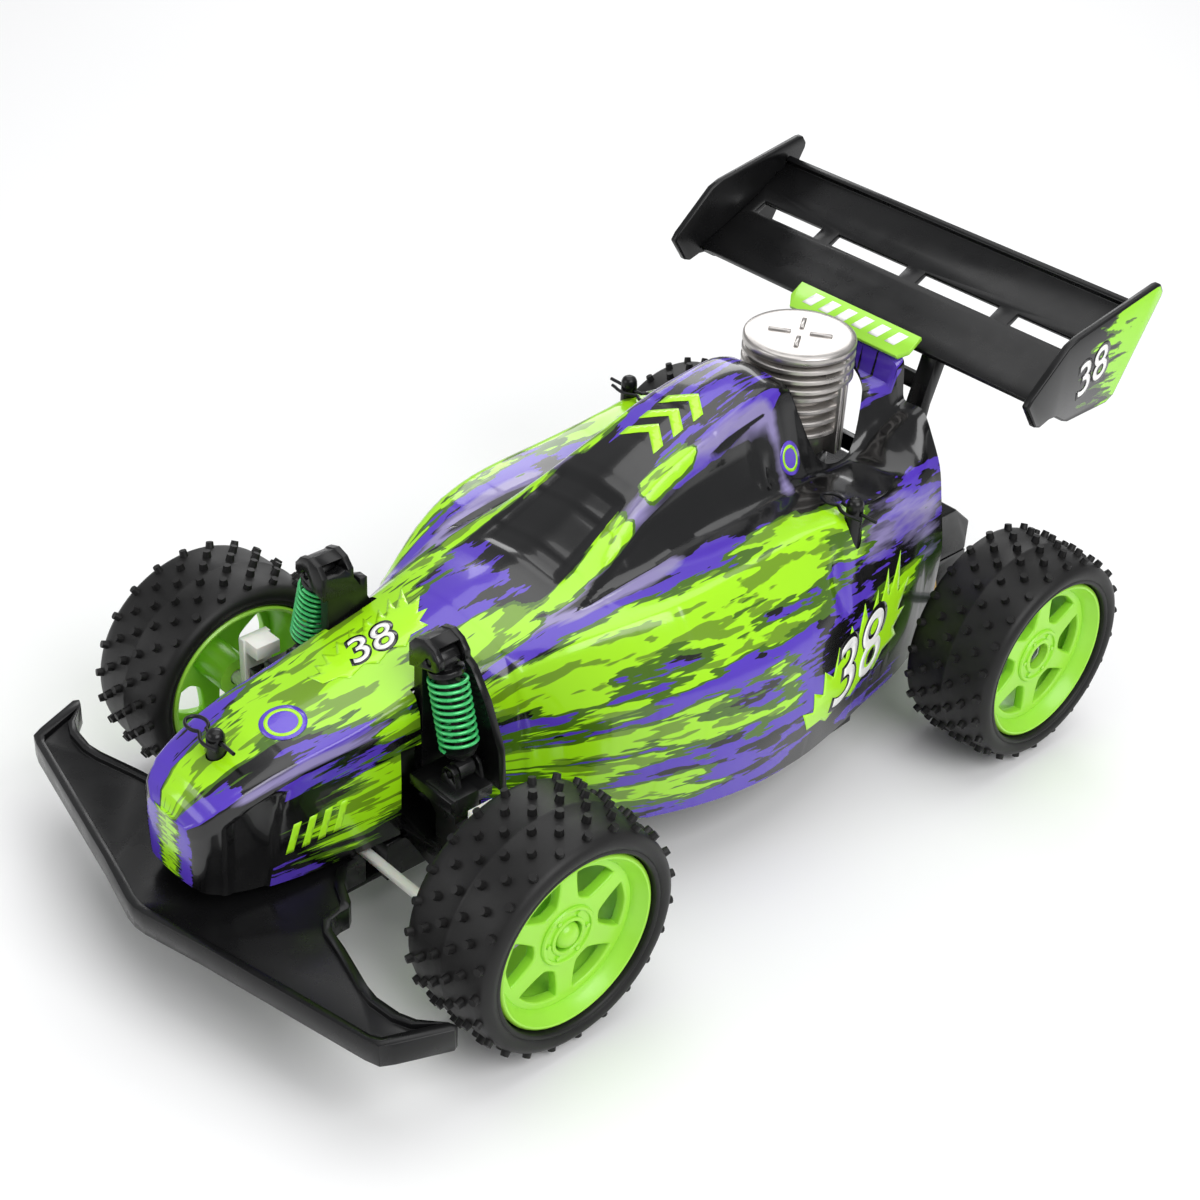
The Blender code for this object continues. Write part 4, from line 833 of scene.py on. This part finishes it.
def rim(node, body, side, front):
    barrel = turned(node + "_spoked", [
        (28.8, -16.2), (28.8, 14.6), (28.4, 15.3), (27.8, 15.6), (27.3, 15.4), (26.9, 14.6), (25.6, 12.6),
        (24.6, 11.2),
        (24.4, 10.4), (24.4, 6.8), (25.0, 2.0), (26.8, -15.4), (27.2, -16.3), (28.2, -16.8)], (0, 0, 0),
        "x", green, 96, 30)
    line = bpy.data.curves.new("web", 'CURVE')
    line.dimensions, line.fill_mode = '2D', 'BOTH'
    line.extrude, line.bevel_depth, line.bevel_resolution = 1.2 * mm, 0.7 * mm, 2
    spokes = wheelSizes["spokes"]
    outlines = [[Vector((24.3 * math.cos(a), 24.3 * math.sin(a)))
                 for a in (2 * math.pi * k / 90 for k in range(90))]]
    outlines += [roundedWindow(2 * math.pi * (k + 0.5) / spokes) for k in range(spokes)]
    outlines.append([Vector((6.0 * math.cos(a), 6.0 * math.sin(a)))
                     for a in (2 * math.pi * k / 40 for k in range(40))])
    for outline in outlines:
        spline = line.splines.new('POLY')
        spline.points.add(len(outline) - 1)
        for point, spot in zip(spline.points, outline):
            point.co = (spot.x * mm, spot.y * mm, 0, 1)
        spline.use_cyclic_u = True
    web = bpy.data.objects.new("web", line)
    bpy.context.scene.collection.objects.link(web)
    web.matrix_world = Matrix.Translation((8.9 * mm, 0, 0)) @ Matrix.Rotation(math.radians(90), 4, 'Y')
    line.materials.append(green)
    web = settle(web)
    # the boss is a ring with a shallow trough inside it, and a nose that holds the cap or the nut
    bore = (5.0, 7.4, 2.8) if front else (4.7, 5.2, 2.4)
    hub = turned("hub",
                 [(6.6, -9.5), (6.6, 8.2), (9.9, 8.4), (9.9, 11.2), (9.5, 11.7), (9.0, 11.8), (8.6, 11.6),
                  (8.4, 11.0),
                         (6.4, 11.0), (6.2, 11.6), (5.7, 11.8), (bore[0] + 0.3, 11.8), (bore[0], 11.5),
                         (bore[0], bore[1]),
                         (bore[2], bore[1]), (bore[2], -9.5)], (0, 0, 0), "x", green, 60, 30)
    bm = bmesh.new()
    for k in range(spokes):
        # dummy bolts in the trough
        place = Matrix.Rotation(2 * math.pi * (k + 0.5) / spokes, 4,
                                'X') @ Matrix.Translation((11.0 * mm, 0, 7.4 * mm))
        bmesh.ops.create_cone(bm, cap_ends=True, segments=16, radius1=0.95 * mm, radius2=0.7 * mm,
                              depth=1.4 * mm,
                              matrix=place @ Matrix.Rotation(math.radians(90), 4, 'Y'))
    made = joinInto(barrel, web, hub, toObject("bolts", bm, green))
    if side < 0:
        made.data.transform(Matrix.Rotation(math.pi, 4, 'Z'))
    spot = middle(node)
    spot.x = side * wheelPlane(node)
    made.data.transform(Matrix.Translation(spot))
    return fit(made, body, "green_abs", node)


def wheelPlane(node):
    # the wheel's mid plane is its tyre's
    return abs(middle(node.replace("rim", "tyre")).x)


def wheels():
    knobTree = treadTree()
    for side, sign in sides:
        for end, body in (("front", "front_wheel_" + side), ("rear", "rear_axle_set")):
            tyre(f"{end}_tyre_{side}", body, knobTree)
            rim(f"{end}_rim_{side}", body, sign, end == "front")
        x = wheelPlane("front_rim_" + side)
        profile = [(4.5, 8.0), (4.5, 9.4), (4.2, 10.8), (3.5, 12.0), (2.4, 12.8), (1.2, 13.15), (0, 13.2)]
        if sign < 0:
            profile = [(r, -h) for r, h in profile]
        cap = turned("hub_cap_domed_" + side, [(0, 8.0 * sign)] + profile,
                     (sign * x, middle("front_tyre_" + side).y, middle("front_tyre_" + side).z), "x", green,
                     48)
        fit(cap, "front_wheel_" + side, "green_abs", "hub_cap_" + side)
        nut = refined("axle_nut_" + side, steel, 0.3)
        fit(nut, "rear_axle_set", "steel", "axle_nut_" + side)


wheels()
print("wheels done")


# Front suspension
coil = {"Turns": ("Float", 10.5), "Coil Radius": ("Float", 5.6 * mm), "Length": ("Float", 22.6 * mm),
        "Wire Radius": ("Float", 0.55 * mm)}


def coilTree():
    tree, given = startTree("openCoil", coil)
    spiral = addNode(tree, "GeometryNodeCurveSpiral", links={
        "Resolution": 40, "Rotations": given["Turns"], "Start Radius": given["Coil Radius"],
        "End Radius": given["Coil Radius"],
        "Height": given["Length"]}).outputs[0]
    wire = addNode(tree, "GeometryNodeCurvePrimitiveCircle",
                   links={"Resolution": 12, "Radius": given["Wire Radius"]}).outputs[0]
    swept = addNode(tree, "GeometryNodeCurveToMesh",
                    links={"Curve": spiral, "Profile Curve": wire, "Fill Caps": True}).outputs[0]
    finishTree(tree, swept, springGreen)
    return tree


def springs():
    tree = coilTree()
    for side, _ in sides:
        low, high = (Vector(v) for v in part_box("shock_spring_" + side))
        joint = next(j for j in frame["joints"] if j["name"] == "shock_travel_" + side)
        run = Vector(joint["axis"]).normalized()
        centre = (low + high) / 2
        length = coil["Length"][1]
        start = centre - run * (length / 2)
        made = toObject("shock_spring_coils_" + side, bmesh.new(), springGreen, 0)
        applyTree(made, tree, coil)
        made.data.transform(Matrix.Translation(start) @ run.to_track_quat('Z', 'Y').to_matrix().to_4x4())
        made.data.shade_smooth()
        fit(made, "shock_body_" + side, "spring_steel_green", "shock_spring_" + side)
        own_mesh(made)


springs()
for side, sign in sides:
    for node, material, slotName, body, width in (
            ("front_arm_" + side, black, "black_abs", "front_arm_" + side, 0.4),
            ("knuckle_" + side, white, "white_nylon", "knuckle_" + side, 0.5),
            ("shock_tower_" + side, black, "black_abs", "chassis", 0.5),
            ("shock_body_" + side, black, "black_abs", "shock_body_" + side, 0.3),
            ("shock_rod_" + side, nylon, "black_nylon", "shock_rod_" + side, 0.3),
            ("wing_endplate_" + side, black, "black_abs", "chassis", 0.25)):
        fit(refined(node, material, width), body, slotName, node)
print("suspension done")


# Dummy engine head
head = {"top": 137.0, "wideFins": 3, "narrowFins": 4, "wide": 19.0, "narrow": 17.4, "core": 13.8,
        "wideCore": 15.4}


def finProfile():
    # down the outside of the head: a flat lid, wide fins, narrow fins, then the plain barrel
    top = head["top"]
    line = [(0, top), (16.0, top), (18.2, top - 0.1), (18.8, top - 0.5), (19.0, top - 1.1),
            (19.0, top - 2.7),
            (18.7, top - 3.2), (head["wideCore"], top - 3.6)]
    z = top - 4.6
    for pitch, reach, waist, count in ((3.6, head["wide"], head["wideCore"], head["wideFins"]),
                                       (4.6, head["narrow"], head["core"], head["narrowFins"])):
        for _ in range(count):
            line += [(waist, z + 0.2), (reach - 0.5, z), (reach, z - 0.5), (reach, z - 1.5),
                     (reach - 0.5, z - 2.0), (waist, z - 2.2)]
            z -= pitch
    return line + [(head["core"], z), (head["core"], 97.5), (0, 97.5)]


def engineHead():
    centre = middle("engine_head")
    made = turned("engine_head_finned", finProfile(), (centre.x, centre.y, 0), "z", silver, 120, 30)
    bm = bmesh.new()
    top = head["top"] * mm
    for angle in (35, 125, 215, 305):
        # raised bars that point at the middle of the lid
        turn = Matrix.Rotation(math.radians(angle), 4, 'Z')
        bar = addBox(bm, (0, 0, 0), (7.5 * mm, 1.5 * mm, 0.9 * mm))
        bmesh.ops.translate(bm, vec=(3.2 * mm, -0.75 * mm, -0.3 * mm), verts=bar)
        bmesh.ops.transform(bm, matrix=Matrix.Translation((centre.x, centre.y, top)) @ turn, verts=bar)
    for angle, reach, low, high in ((-62, 16.9, 98, 121.5), (-51, 16.9, 98, 121.5), (150, 16.9, 98, 121.5),
                                    (20, 18.6, 98, 133.0), (10, 18.6, 98, 133.0), (200, 18.6, 98, 133.0)):
        # upright ribs that tie the fins together
        rib = addBox(bm, ((head["core"] - 2) * mm, -0.9 * mm, low * mm), (reach * mm, 0.9 * mm, high * mm))
        turn = Matrix.Rotation(math.radians(angle), 4, 'Z')
        bmesh.ops.transform(bm, matrix=Matrix.Translation((centre.x, centre.y, 0)) @ turn, verts=rib)
    ribs = rounded(toObject("ribs", bm, silver), 0.3, 2)
    joinInto(made, ribs)
    fit(made, "chassis", "chromed_abs", "engine_head")


engineHead()
fit(refined("engine_mount", black, 0.4), "chassis", "black_abs", "engine_mount")
print("engine done")


# Stickers: flat shapes in mm laid down on a surface
def surfaceOf(thing):
    bm = bmesh.new()
    bm.from_mesh(thing.data)
    tree = BVHTree.FromBMesh(bm)
    bm.free()
    return tree


def flatShape(kind, what, **options):
    # a filled 2D curve as a flat bmesh: "word" takes digits, "outline" a list of closed outlines
    curve = bpy.data.curves.new("flat", 'FONT' if kind == "word" else 'CURVE')
    if kind == "word":
        curve.body, curve.size, curve.shear = what, options["size"], 0.3
        curve.offset, curve.align_x, curve.align_y = options["embolden"], 'CENTER', 'CENTER'
    else:
        curve.dimensions, curve.fill_mode = '2D', 'BOTH'
        for outline in what:
            spline = curve.splines.new('POLY')
            spline.points.add(len(outline) - 1)
            for point, (u, v) in zip(spline.points, outline):
                point.co = (u, v, 0, 1)
            spline.use_cyclic_u = True
    holder = bpy.data.objects.new("flat", curve)
    bpy.context.scene.collection.objects.link(holder)
    holder = settle(holder)
    bm = bmesh.new()
    bm.from_mesh(holder.data)
    bpy.data.objects.remove(holder, do_unlink=True)
    bmesh.ops.remove_doubles(bm, verts=bm.verts, dist=0.001)
    bmesh.ops.triangulate(bm, faces=bm.faces)
    for _ in range(5):
        longEdges = [e for e in bm.edges if e.calc_length() > 2.2]
        if not longEdges:
            break
        bmesh.ops.subdivide_edges(bm, edges=longEdges, cuts=1)
        bmesh.ops.triangulate(bm, faces=bm.faces)
    return bm


def layDown(name, layers, surface, origin, across, up, slotName="lime_shell"):
    # layers: (flat bmesh, material, lift in mm), each cast on to the surface against its normal
    origin, across, up = Vector(origin) * mm, Vector(across).normalized(), Vector(up).normalized()
    outward = across.cross(up)
    sheets = []
    for bm, material, lift in layers:
        for v in bm.verts:
            start = origin + (across * v.co.x + up * v.co.y) * mm + outward * 0.05
            spot, normal, _, _ = surface.ray_cast(start, -outward)
            if spot is None:
                spot, normal, _, _ = surface.find_nearest(start - outward * 0.05)
            if normal.dot(outward) < 0:
                normal = -normal
            v.co = spot + normal * lift * mm
        bmesh.ops.recalc_face_normals(bm, faces=bm.faces)
        if sum(f.normal.dot(outward) * f.calc_area() for f in bm.faces) < 0:
            bmesh.ops.reverse_faces(bm, faces=bm.faces)
        sheet = toObject(name, bm, material, 60)
        skin = sheet.modifiers.new("skin", 'SOLIDIFY')
        skin.thickness, skin.offset = 0.04 * mm, 1
        sheets.append(settle(sheet))
    made = sheets[0]
    joinSheets(made, sheets[1:])
    return fit(made, "chassis", slotName)


def joinSheets(target, others):
    bm = bmesh.new()
    bm.from_mesh(target.data)
    for other in others:
        slotIndex = len(target.data.materials)
        target.data.materials.append(other.data.materials[0])
        first = len(bm.faces)
        bm.from_mesh(other.data)
        bm.faces.ensure_lookup_table()
        for face in bm.faces[first:]:
            face.material_index = slotIndex
        bpy.data.objects.remove(other, do_unlink=True)
    bm.to_mesh(target.data)
    bm.free()


def stickerFilm(name, colour):
    # printed vinyl film: flat colour with a faint mottle, glossy on top
    return mouldedPlastic(name, colour, 0.2, 1.5, 0.004, 0.08, coat=0.5)


limeFilm = stickerFilm("limePrintedFilm", "#A9EC1E")
whiteFilm = stickerFilm("whitePrintedFilm", "#F4F4EE")
blackFilm = stickerFilm("blackPrintedFilm", "#0D0D0E")
purpleFilm = stickerFilm("purplePrintedFilm", "#5A3FC0")

flame = [(-30, -9), (-33, 1), (-27, -2), (-26, 6), (-21, 2), (-19, 11), (-14, 5), (-9, 15), (-6, 7),
         (0, 18), (3, 9),
         (10, 21), (11, 11), (19, 21), (18, 12), (27, 25), (25, 14), (36, 27), (31, 12), (39, 14), (31, 3),
         (36, 2), (28, -3),
         (30, -8), (20, -8), (14, -13), (8, -9), (-2, -14), (-8, -10), (-18, -14), (-22, -10)]


def grown(outline, share, slide=(0, 0)):
    return [(u * share + slide[0], v * share + slide[1]) for u, v in outline]


def circle(radius, count=40, centre=(0, 0)):
    return [(centre[0] + radius * math.cos(2 * math.pi * k / count),
             centre[1] + radius * math.sin(2 * math.pi * k / count))
            for k in range(count)]


def stickers():
    shellSurface = surfaceOf(bpy.data.objects["body_shell_printed"])
    for side, sign in sides:
        # flank: race number in a lime flame, leaning back with the body's streaks
        y, z = 60, 51
        lean = 0.16
        layDown("flank_number_" + side, [
            (flatShape("outline", [[(u * sign, v) for u, v in grown(flame, 0.9)]]), limeFilm, 0.10),
            (flatShape("word", "38", size=33, embolden=1.1), blackFilm, 0.17),
            (flatShape("word", "38", size=31, embolden=0.05), whiteFilm, 0.24)],
            shellSurface, (sign * 60, y, z), (0, sign, lean),
            (0, -lean * sign, 1) if sign > 0 else (0, lean, 1))
        # nose side: three slanted bars
        bars = [[(k * 5.2 - 8, -5), (k * 5.2 - 5.4, -5), (k * 5.2 - 1.8, 5), (k * 5.2 - 4.4, 5)]
                for k in range(4)]
        layDown("nose_bars_" + side, [(flatShape("outline", bars), limeFilm, 0.10)], shellSurface,
                (sign * 20, -128, 53), (0, sign, 0.08), (0, -0.08 * sign, 1) if sign > 0 else (0, 0.08, 1))
        # roundel behind the side window
        x, z = onShell(66, 1.75)
        layDown("pillar_roundel_" + side, [
            (flatShape("outline", [circle(5.2)]), purpleFilm, 0.10),
            (flatShape("outline", [circle(4.0), circle(3.0)]), limeFilm, 0.17)],
            shellSurface, (sign * x, 66, z), (0, sign, 0), (-0.75 * sign, 0, 0.66))
    layDown("nose_number", [
        (flatShape("outline", [grown(flame, 0.62)]), limeFilm, 0.10),
        (flatShape("word", "38", size=17, embolden=0.7), blackFilm, 0.17),
        (flatShape("word", "38", size=16, embolden=0.05), whiteFilm, 0.24)],
        shellSurface, (-3, -88, 90), (0.12, 1, 0.14), (-1, 0.12, 0))
    layDown("nose_roundel", [
        (flatShape("outline", [circle(7.0)]), purpleFilm, 0.10),
        (flatShape("outline", [circle(5.6), circle(4.4)]), limeFilm, 0.17)],
        shellSurface, (5, -124, 81), (0, 1, 0.12), (-1, 0, 0))
    arrows = [[(k * 9 - 14, -8), (k * 9 - 9.5, -8), (k * 9 - 3.5, 0), (k * 9 - 9.5, 8), (k * 9 - 14, 8),
               (k * 9 - 8, 0)]
              for k in range(3)]
    layDown("roof_arrows", [(flatShape("outline", arrows), limeFilm, 0.10)], shellSurface, (0, 30, 125),
            (0, 1, 0.34), (-1, 0, 0))


stickers()
print("stickers done")


# Wing
def splashedPlate():
    # black plate with lime brushed across its rear half
    finish, tree, shader = startMaterial("splashPrintedPlate", Roughness=0.2, Coat_Weight=0.6,
                                         Coat_Roughness=0.06)
    where = addNode(tree, "ShaderNodeTexCoord").outputs["Object"]
    turn = addNode(tree, "ShaderNodeMapping", links={"Vector": where, "Rotation": (math.radians(-42), 0, 0),
                                                   "Scale": (1, 1 / (16 * mm), 1 / (3.5 * mm))})
    brush = addNode(tree, "ShaderNodeTexNoise",
                    links={"Vector": turn.outputs["Vector"], "Scale": 1.0, "Detail": 3.0,
                                                      "Roughness": 0.6}).outputs["Fac"]
    y = addNode(tree, "ShaderNodeSeparateXYZ", links={"Vector": where}).outputs["Y"]
    back = addNode(tree, "ShaderNodeMapRange",
                   links={"Value": y, "From Min": 0.128, "From Max": 0.172}).outputs["Result"]
    reach = addNode(tree, "ShaderNodeMath", {"operation": "MULTIPLY_ADD"},
                    {0: brush, 1: 1.5, 2: back}).outputs[0]
    mask = addNode(tree, "ShaderNodeMapRange",
                   links={"Value": reach, "From Min": 1.24, "From Max": 1.26}).outputs["Result"]
    olive = addNode(tree, "ShaderNodeMapRange",
                    links={"Value": reach, "From Min": 1.14, "From Max": 1.16}).outputs["Result"]
    colour = linear("#131314")
    for factor, paint in ((olive, linear("#4E7413")), (mask, linear("#9BE41F"))):
        colour = addNode(tree, "ShaderNodeMix", {"data_type": "RGBA"},
                         {"Factor": factor, "A": colour, "B": paint}).outputs["Result"]
    tree.links.new(colour, shader.inputs["Base Color"])
    gloss = addNode(tree, "ShaderNodeMapRange", links={"Value": brush, "To Min": 0.16, "To Max": 0.3})
    tree.links.new(gloss.outputs["Result"], shader.inputs["Roughness"])
    bumpFrom(tree, shader, brush, 0.15, 0.05)
    return finish


def wing():
    splash = splashedPlate()
    for side, sign in sides:
        plate = bpy.data.objects["wing_endplate_" + side + "_moulding"]
        plate.data.materials.append(splash)
        for face in plate.data.polygons:
            if face.normal.x * sign > 0.95 and face.area > 1e-5:
                face.material_index = 1
        layDown("endplate_number_" + side, [
            (flatShape("word", "38", size=17, embolden=0.8), blackFilm, 0.05),
            (flatShape("word", "38", size=16, embolden=0.1), whiteFilm, 0.10)], surfaceOf(plate),
            (sign * 80.8, 140, 139), (0, sign, 0.42), (0, -0.42 * sign, 1) if sign > 0 else (0, 0.42, 1),
            "black_abs")
    fit(refined("wing_plane", black, 0.3), "chassis", "black_abs", "wing_plane")
    fit(refined("wing_mount", black, 0.5), "chassis", "black_abs", "wing_mount")
    badge = fit(refined("wing_badge_plate", green, 0.3), "chassis", "green_abs", "wing_badge_plate")
    low, high = (Vector(v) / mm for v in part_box("wing_badge_plate"))
    slope = Vector((0, high.y - low.y, high.z - low.z - 1.4)).normalized()
    bars = [[(u, -2.6), (u + 4.2, -2.6), (u + 6.6, 2.6), (u + 2.4, 2.6)]
            for u in (-21, -13.5, -6, 1.5, 9, 16.5)]
    layDown("badge_bars", [(flatShape("outline", bars), whiteFilm, 0.05)], surfaceOf(badge),
            (0, (low.y + high.y) / 2, high.z - 2),
            (1, 0, 0), slope, "green_abs")


wing()
print("wing done")


# Posts, clips and the rest
clipWire = {"radius": 0.6, "leg": (9.0, -5.5), "loop": 4.0}


def clips():
    dark = metal("blackenedSpringWire", "#3A3A3C", 0.28, 0.8, (1, 1, 1))
    for place in ("front", "left", "right"):
        low, high = (Vector(v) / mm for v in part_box("body_post_" + place))
        x, y, top, foot = (low.x + high.x) / 2, (low.y + high.y) / 2, high.z, low.z
        dome = [(0, top), (1.3, top - 0.15), (2.2, top - 0.7), (2.7, top - 1.8), (2.8, top - 3.0),
                (2.8, foot), (0, foot)]
        post = turned("body_post_domed_" + place, dome, (x * mm, y * mm, 0), "z", black, 40)
        box = [Vector(v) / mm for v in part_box("body_clip_" + place)]
        z = (box[0].z + box[1].z) / 2
        bm = bmesh.new()
        bmesh.ops.create_cone(bm, cap_ends=True, segments=16, radius1=0.95 * mm, radius2=0.95 * mm,
                              depth=12 * mm,
                              matrix=Matrix.Translation((x * mm, y * mm,
                                                         z * mm)) @ Matrix.Rotation(math.radians(90), 4,
                                                                                    'Y'))
        hole = toObject("hole", bm, black, 0)
        cut = post.modifiers.new("cut", 'BOOLEAN')
        cut.object = hole
        settle(post)
        bpy.data.objects.remove(hole, do_unlink=True)
        fit(post, "chassis", "black_abs", "body_post_" + place)
        reach = -1 if x < -1 else 1
        path = [(clipWire["leg"][0], 0.0), (clipWire["leg"][1], 0.0)]
        path += [(-9.5 + 4.0 * math.cos(math.radians(a)), 3.0 * math.sin(math.radians(a)))
                 for a in range(-30, -331, -20)]
        path += [(-4.6, 2.2), (-3.4, 3.1), (-2.2, 3.6), (0.0, 4.0), (2.4, 3.6), (3.8, 3.1), (5.2, 3.0)]
        wire = bpy.data.curves.new("wire", 'CURVE')
        wire.dimensions, wire.use_fill_caps = '3D', True
        wire.bevel_depth, wire.bevel_resolution = clipWire["radius"] * mm, 4
        spline = wire.splines.new('NURBS')
        spline.points.add(len(path) - 1)
        for point, (along, across) in zip(spline.points, path):
            point.co = ((x + reach * along) * mm, (y - across) * mm, z * mm, 1)
        spline.order_u, spline.use_endpoint_u, spline.resolution_u = 3, True, 3
        wire.materials.append(dark)
        made = bpy.data.objects.new("body_clip_wire_" + place, wire)
        bpy.context.scene.collection.objects.link(made)
        made = settle(made)
        made.data.shade_smooth()
        fit(made, "body_clip_" + place, "steel", "body_clip_" + place)


clips()
for node, material, slotName, body, width in (
        ("front_bumper", black, "black_abs", "chassis", 0.5),
        ("chassis_tub", black, "black_abs", "chassis", 0.5),
        ("front_bulkhead", black, "black_abs", "chassis", 0.5),
        ("gearbox_housing", black, "black_abs", "chassis", 0.5),
        ("gearbox_cover", black, "black_abs", "chassis", 0.7),
        ("battery_door", black, "black_abs", "chassis", 0.3),
        ("tie_rod", white, "white_nylon", "tie_rod", 0.3),
        ("steering_horn", white, "white_nylon", "steering_horn", 0.2),
        ("steering_servo", nylon, "black_nylon", "chassis", 0.4),
        ("power_switch", nylon, "black_nylon", "power_switch", 0.25)):
    fit(refined(node, material, width), body, slotName, node)
for node, material in (("battery_bay", black), ("battery_pack", wrap), ("circuit_board", board),
                       ("battery_door_screw", steel),
                       ("drive_motor", steel), ("rear_axle", steel), ("axle_gear", white),
                       ("idler_gear", white),
                       ("motor_pinion", brass), ("axle_bush_left", brass), ("axle_bush_right", brass)):
    kept = frame["nodes"][node].data
    kept.materials.clear()
    kept.materials.append(material)
print("chassis done")


# Camera, light and floor
def studio():
    place = Vector((0.42248621, -0.40642705, 0.45482669))
    away = Vector((0.59847806, -0.58242841, 0.55009195))
    lens = bpy.data.cameras.new("viewCamera")
    lens.lens, lens.sensor_width = 65.06, 36
    lens.clip_start = 0.01
    camera = bpy.data.objects.new("viewCamera", lens)
    turn = away.to_track_quat('Z', 'Y').to_matrix() @ Matrix.Rotation(math.radians(3.024), 3, 'Z')
    camera.matrix_world = Matrix.Translation(place) @ turn.to_4x4()
    bpy.context.scene.collection.objects.link(camera)
    bpy.context.scene.camera = camera

    def softbox(name, place, target, size, power):
        light = bpy.data.lights.new(name, 'AREA')
        light.shape = 'RECTANGLE'
        light.size, light.size_y = size
        light.energy = power
        lamp = bpy.data.objects.new(name, light)
        aim = (Vector(place) - Vector(target)).to_track_quat('Z', 'Y')
        lamp.matrix_world = Matrix.Translation(place) @ aim.to_matrix().to_4x4()
        bpy.context.scene.collection.objects.link(lamp)
    softbox("keyBox", (0.9, -0.1, 0.9), (0, 0, 0.05), (0.9, 0.7), 9)
    softbox("topBox", (-0.1, 0.2, 1.3), (0, 0, 0.05), (1.2, 1.2), 8)
    softbox("frontBox", (-0.5, -1.1, 0.6), (0, 0, 0.05), (0.8, 0.5), 3)
    softbox("backBox", (-0.9, 0.9, 0.7), (0, 0.05, 0.1), (0.8, 0.5), 4)

    world = bpy.data.worlds.new("paleStudio")
    world.use_nodes = True
    world.node_tree.nodes["Background"].inputs["Color"].default_value = linear("#F2F3F5")
    world.node_tree.nodes["Background"].inputs["Strength"].default_value = 0.42
    bpy.context.scene.world = world
    bpy.context.scene.view_settings.view_transform = 'Standard'

    bm = bmesh.new()
    bmesh.ops.create_grid(bm, x_segments=1, y_segments=1, size=4.0)
    paper, _, shader = startMaterial("paleSweep", Roughness=0.9)
    shader.inputs["Base Color"].default_value = linear("#F7F7F7")
    floor = toObject("studioFloor", bm, paper, 0)
    floor.location.z = -0.0005


studio()
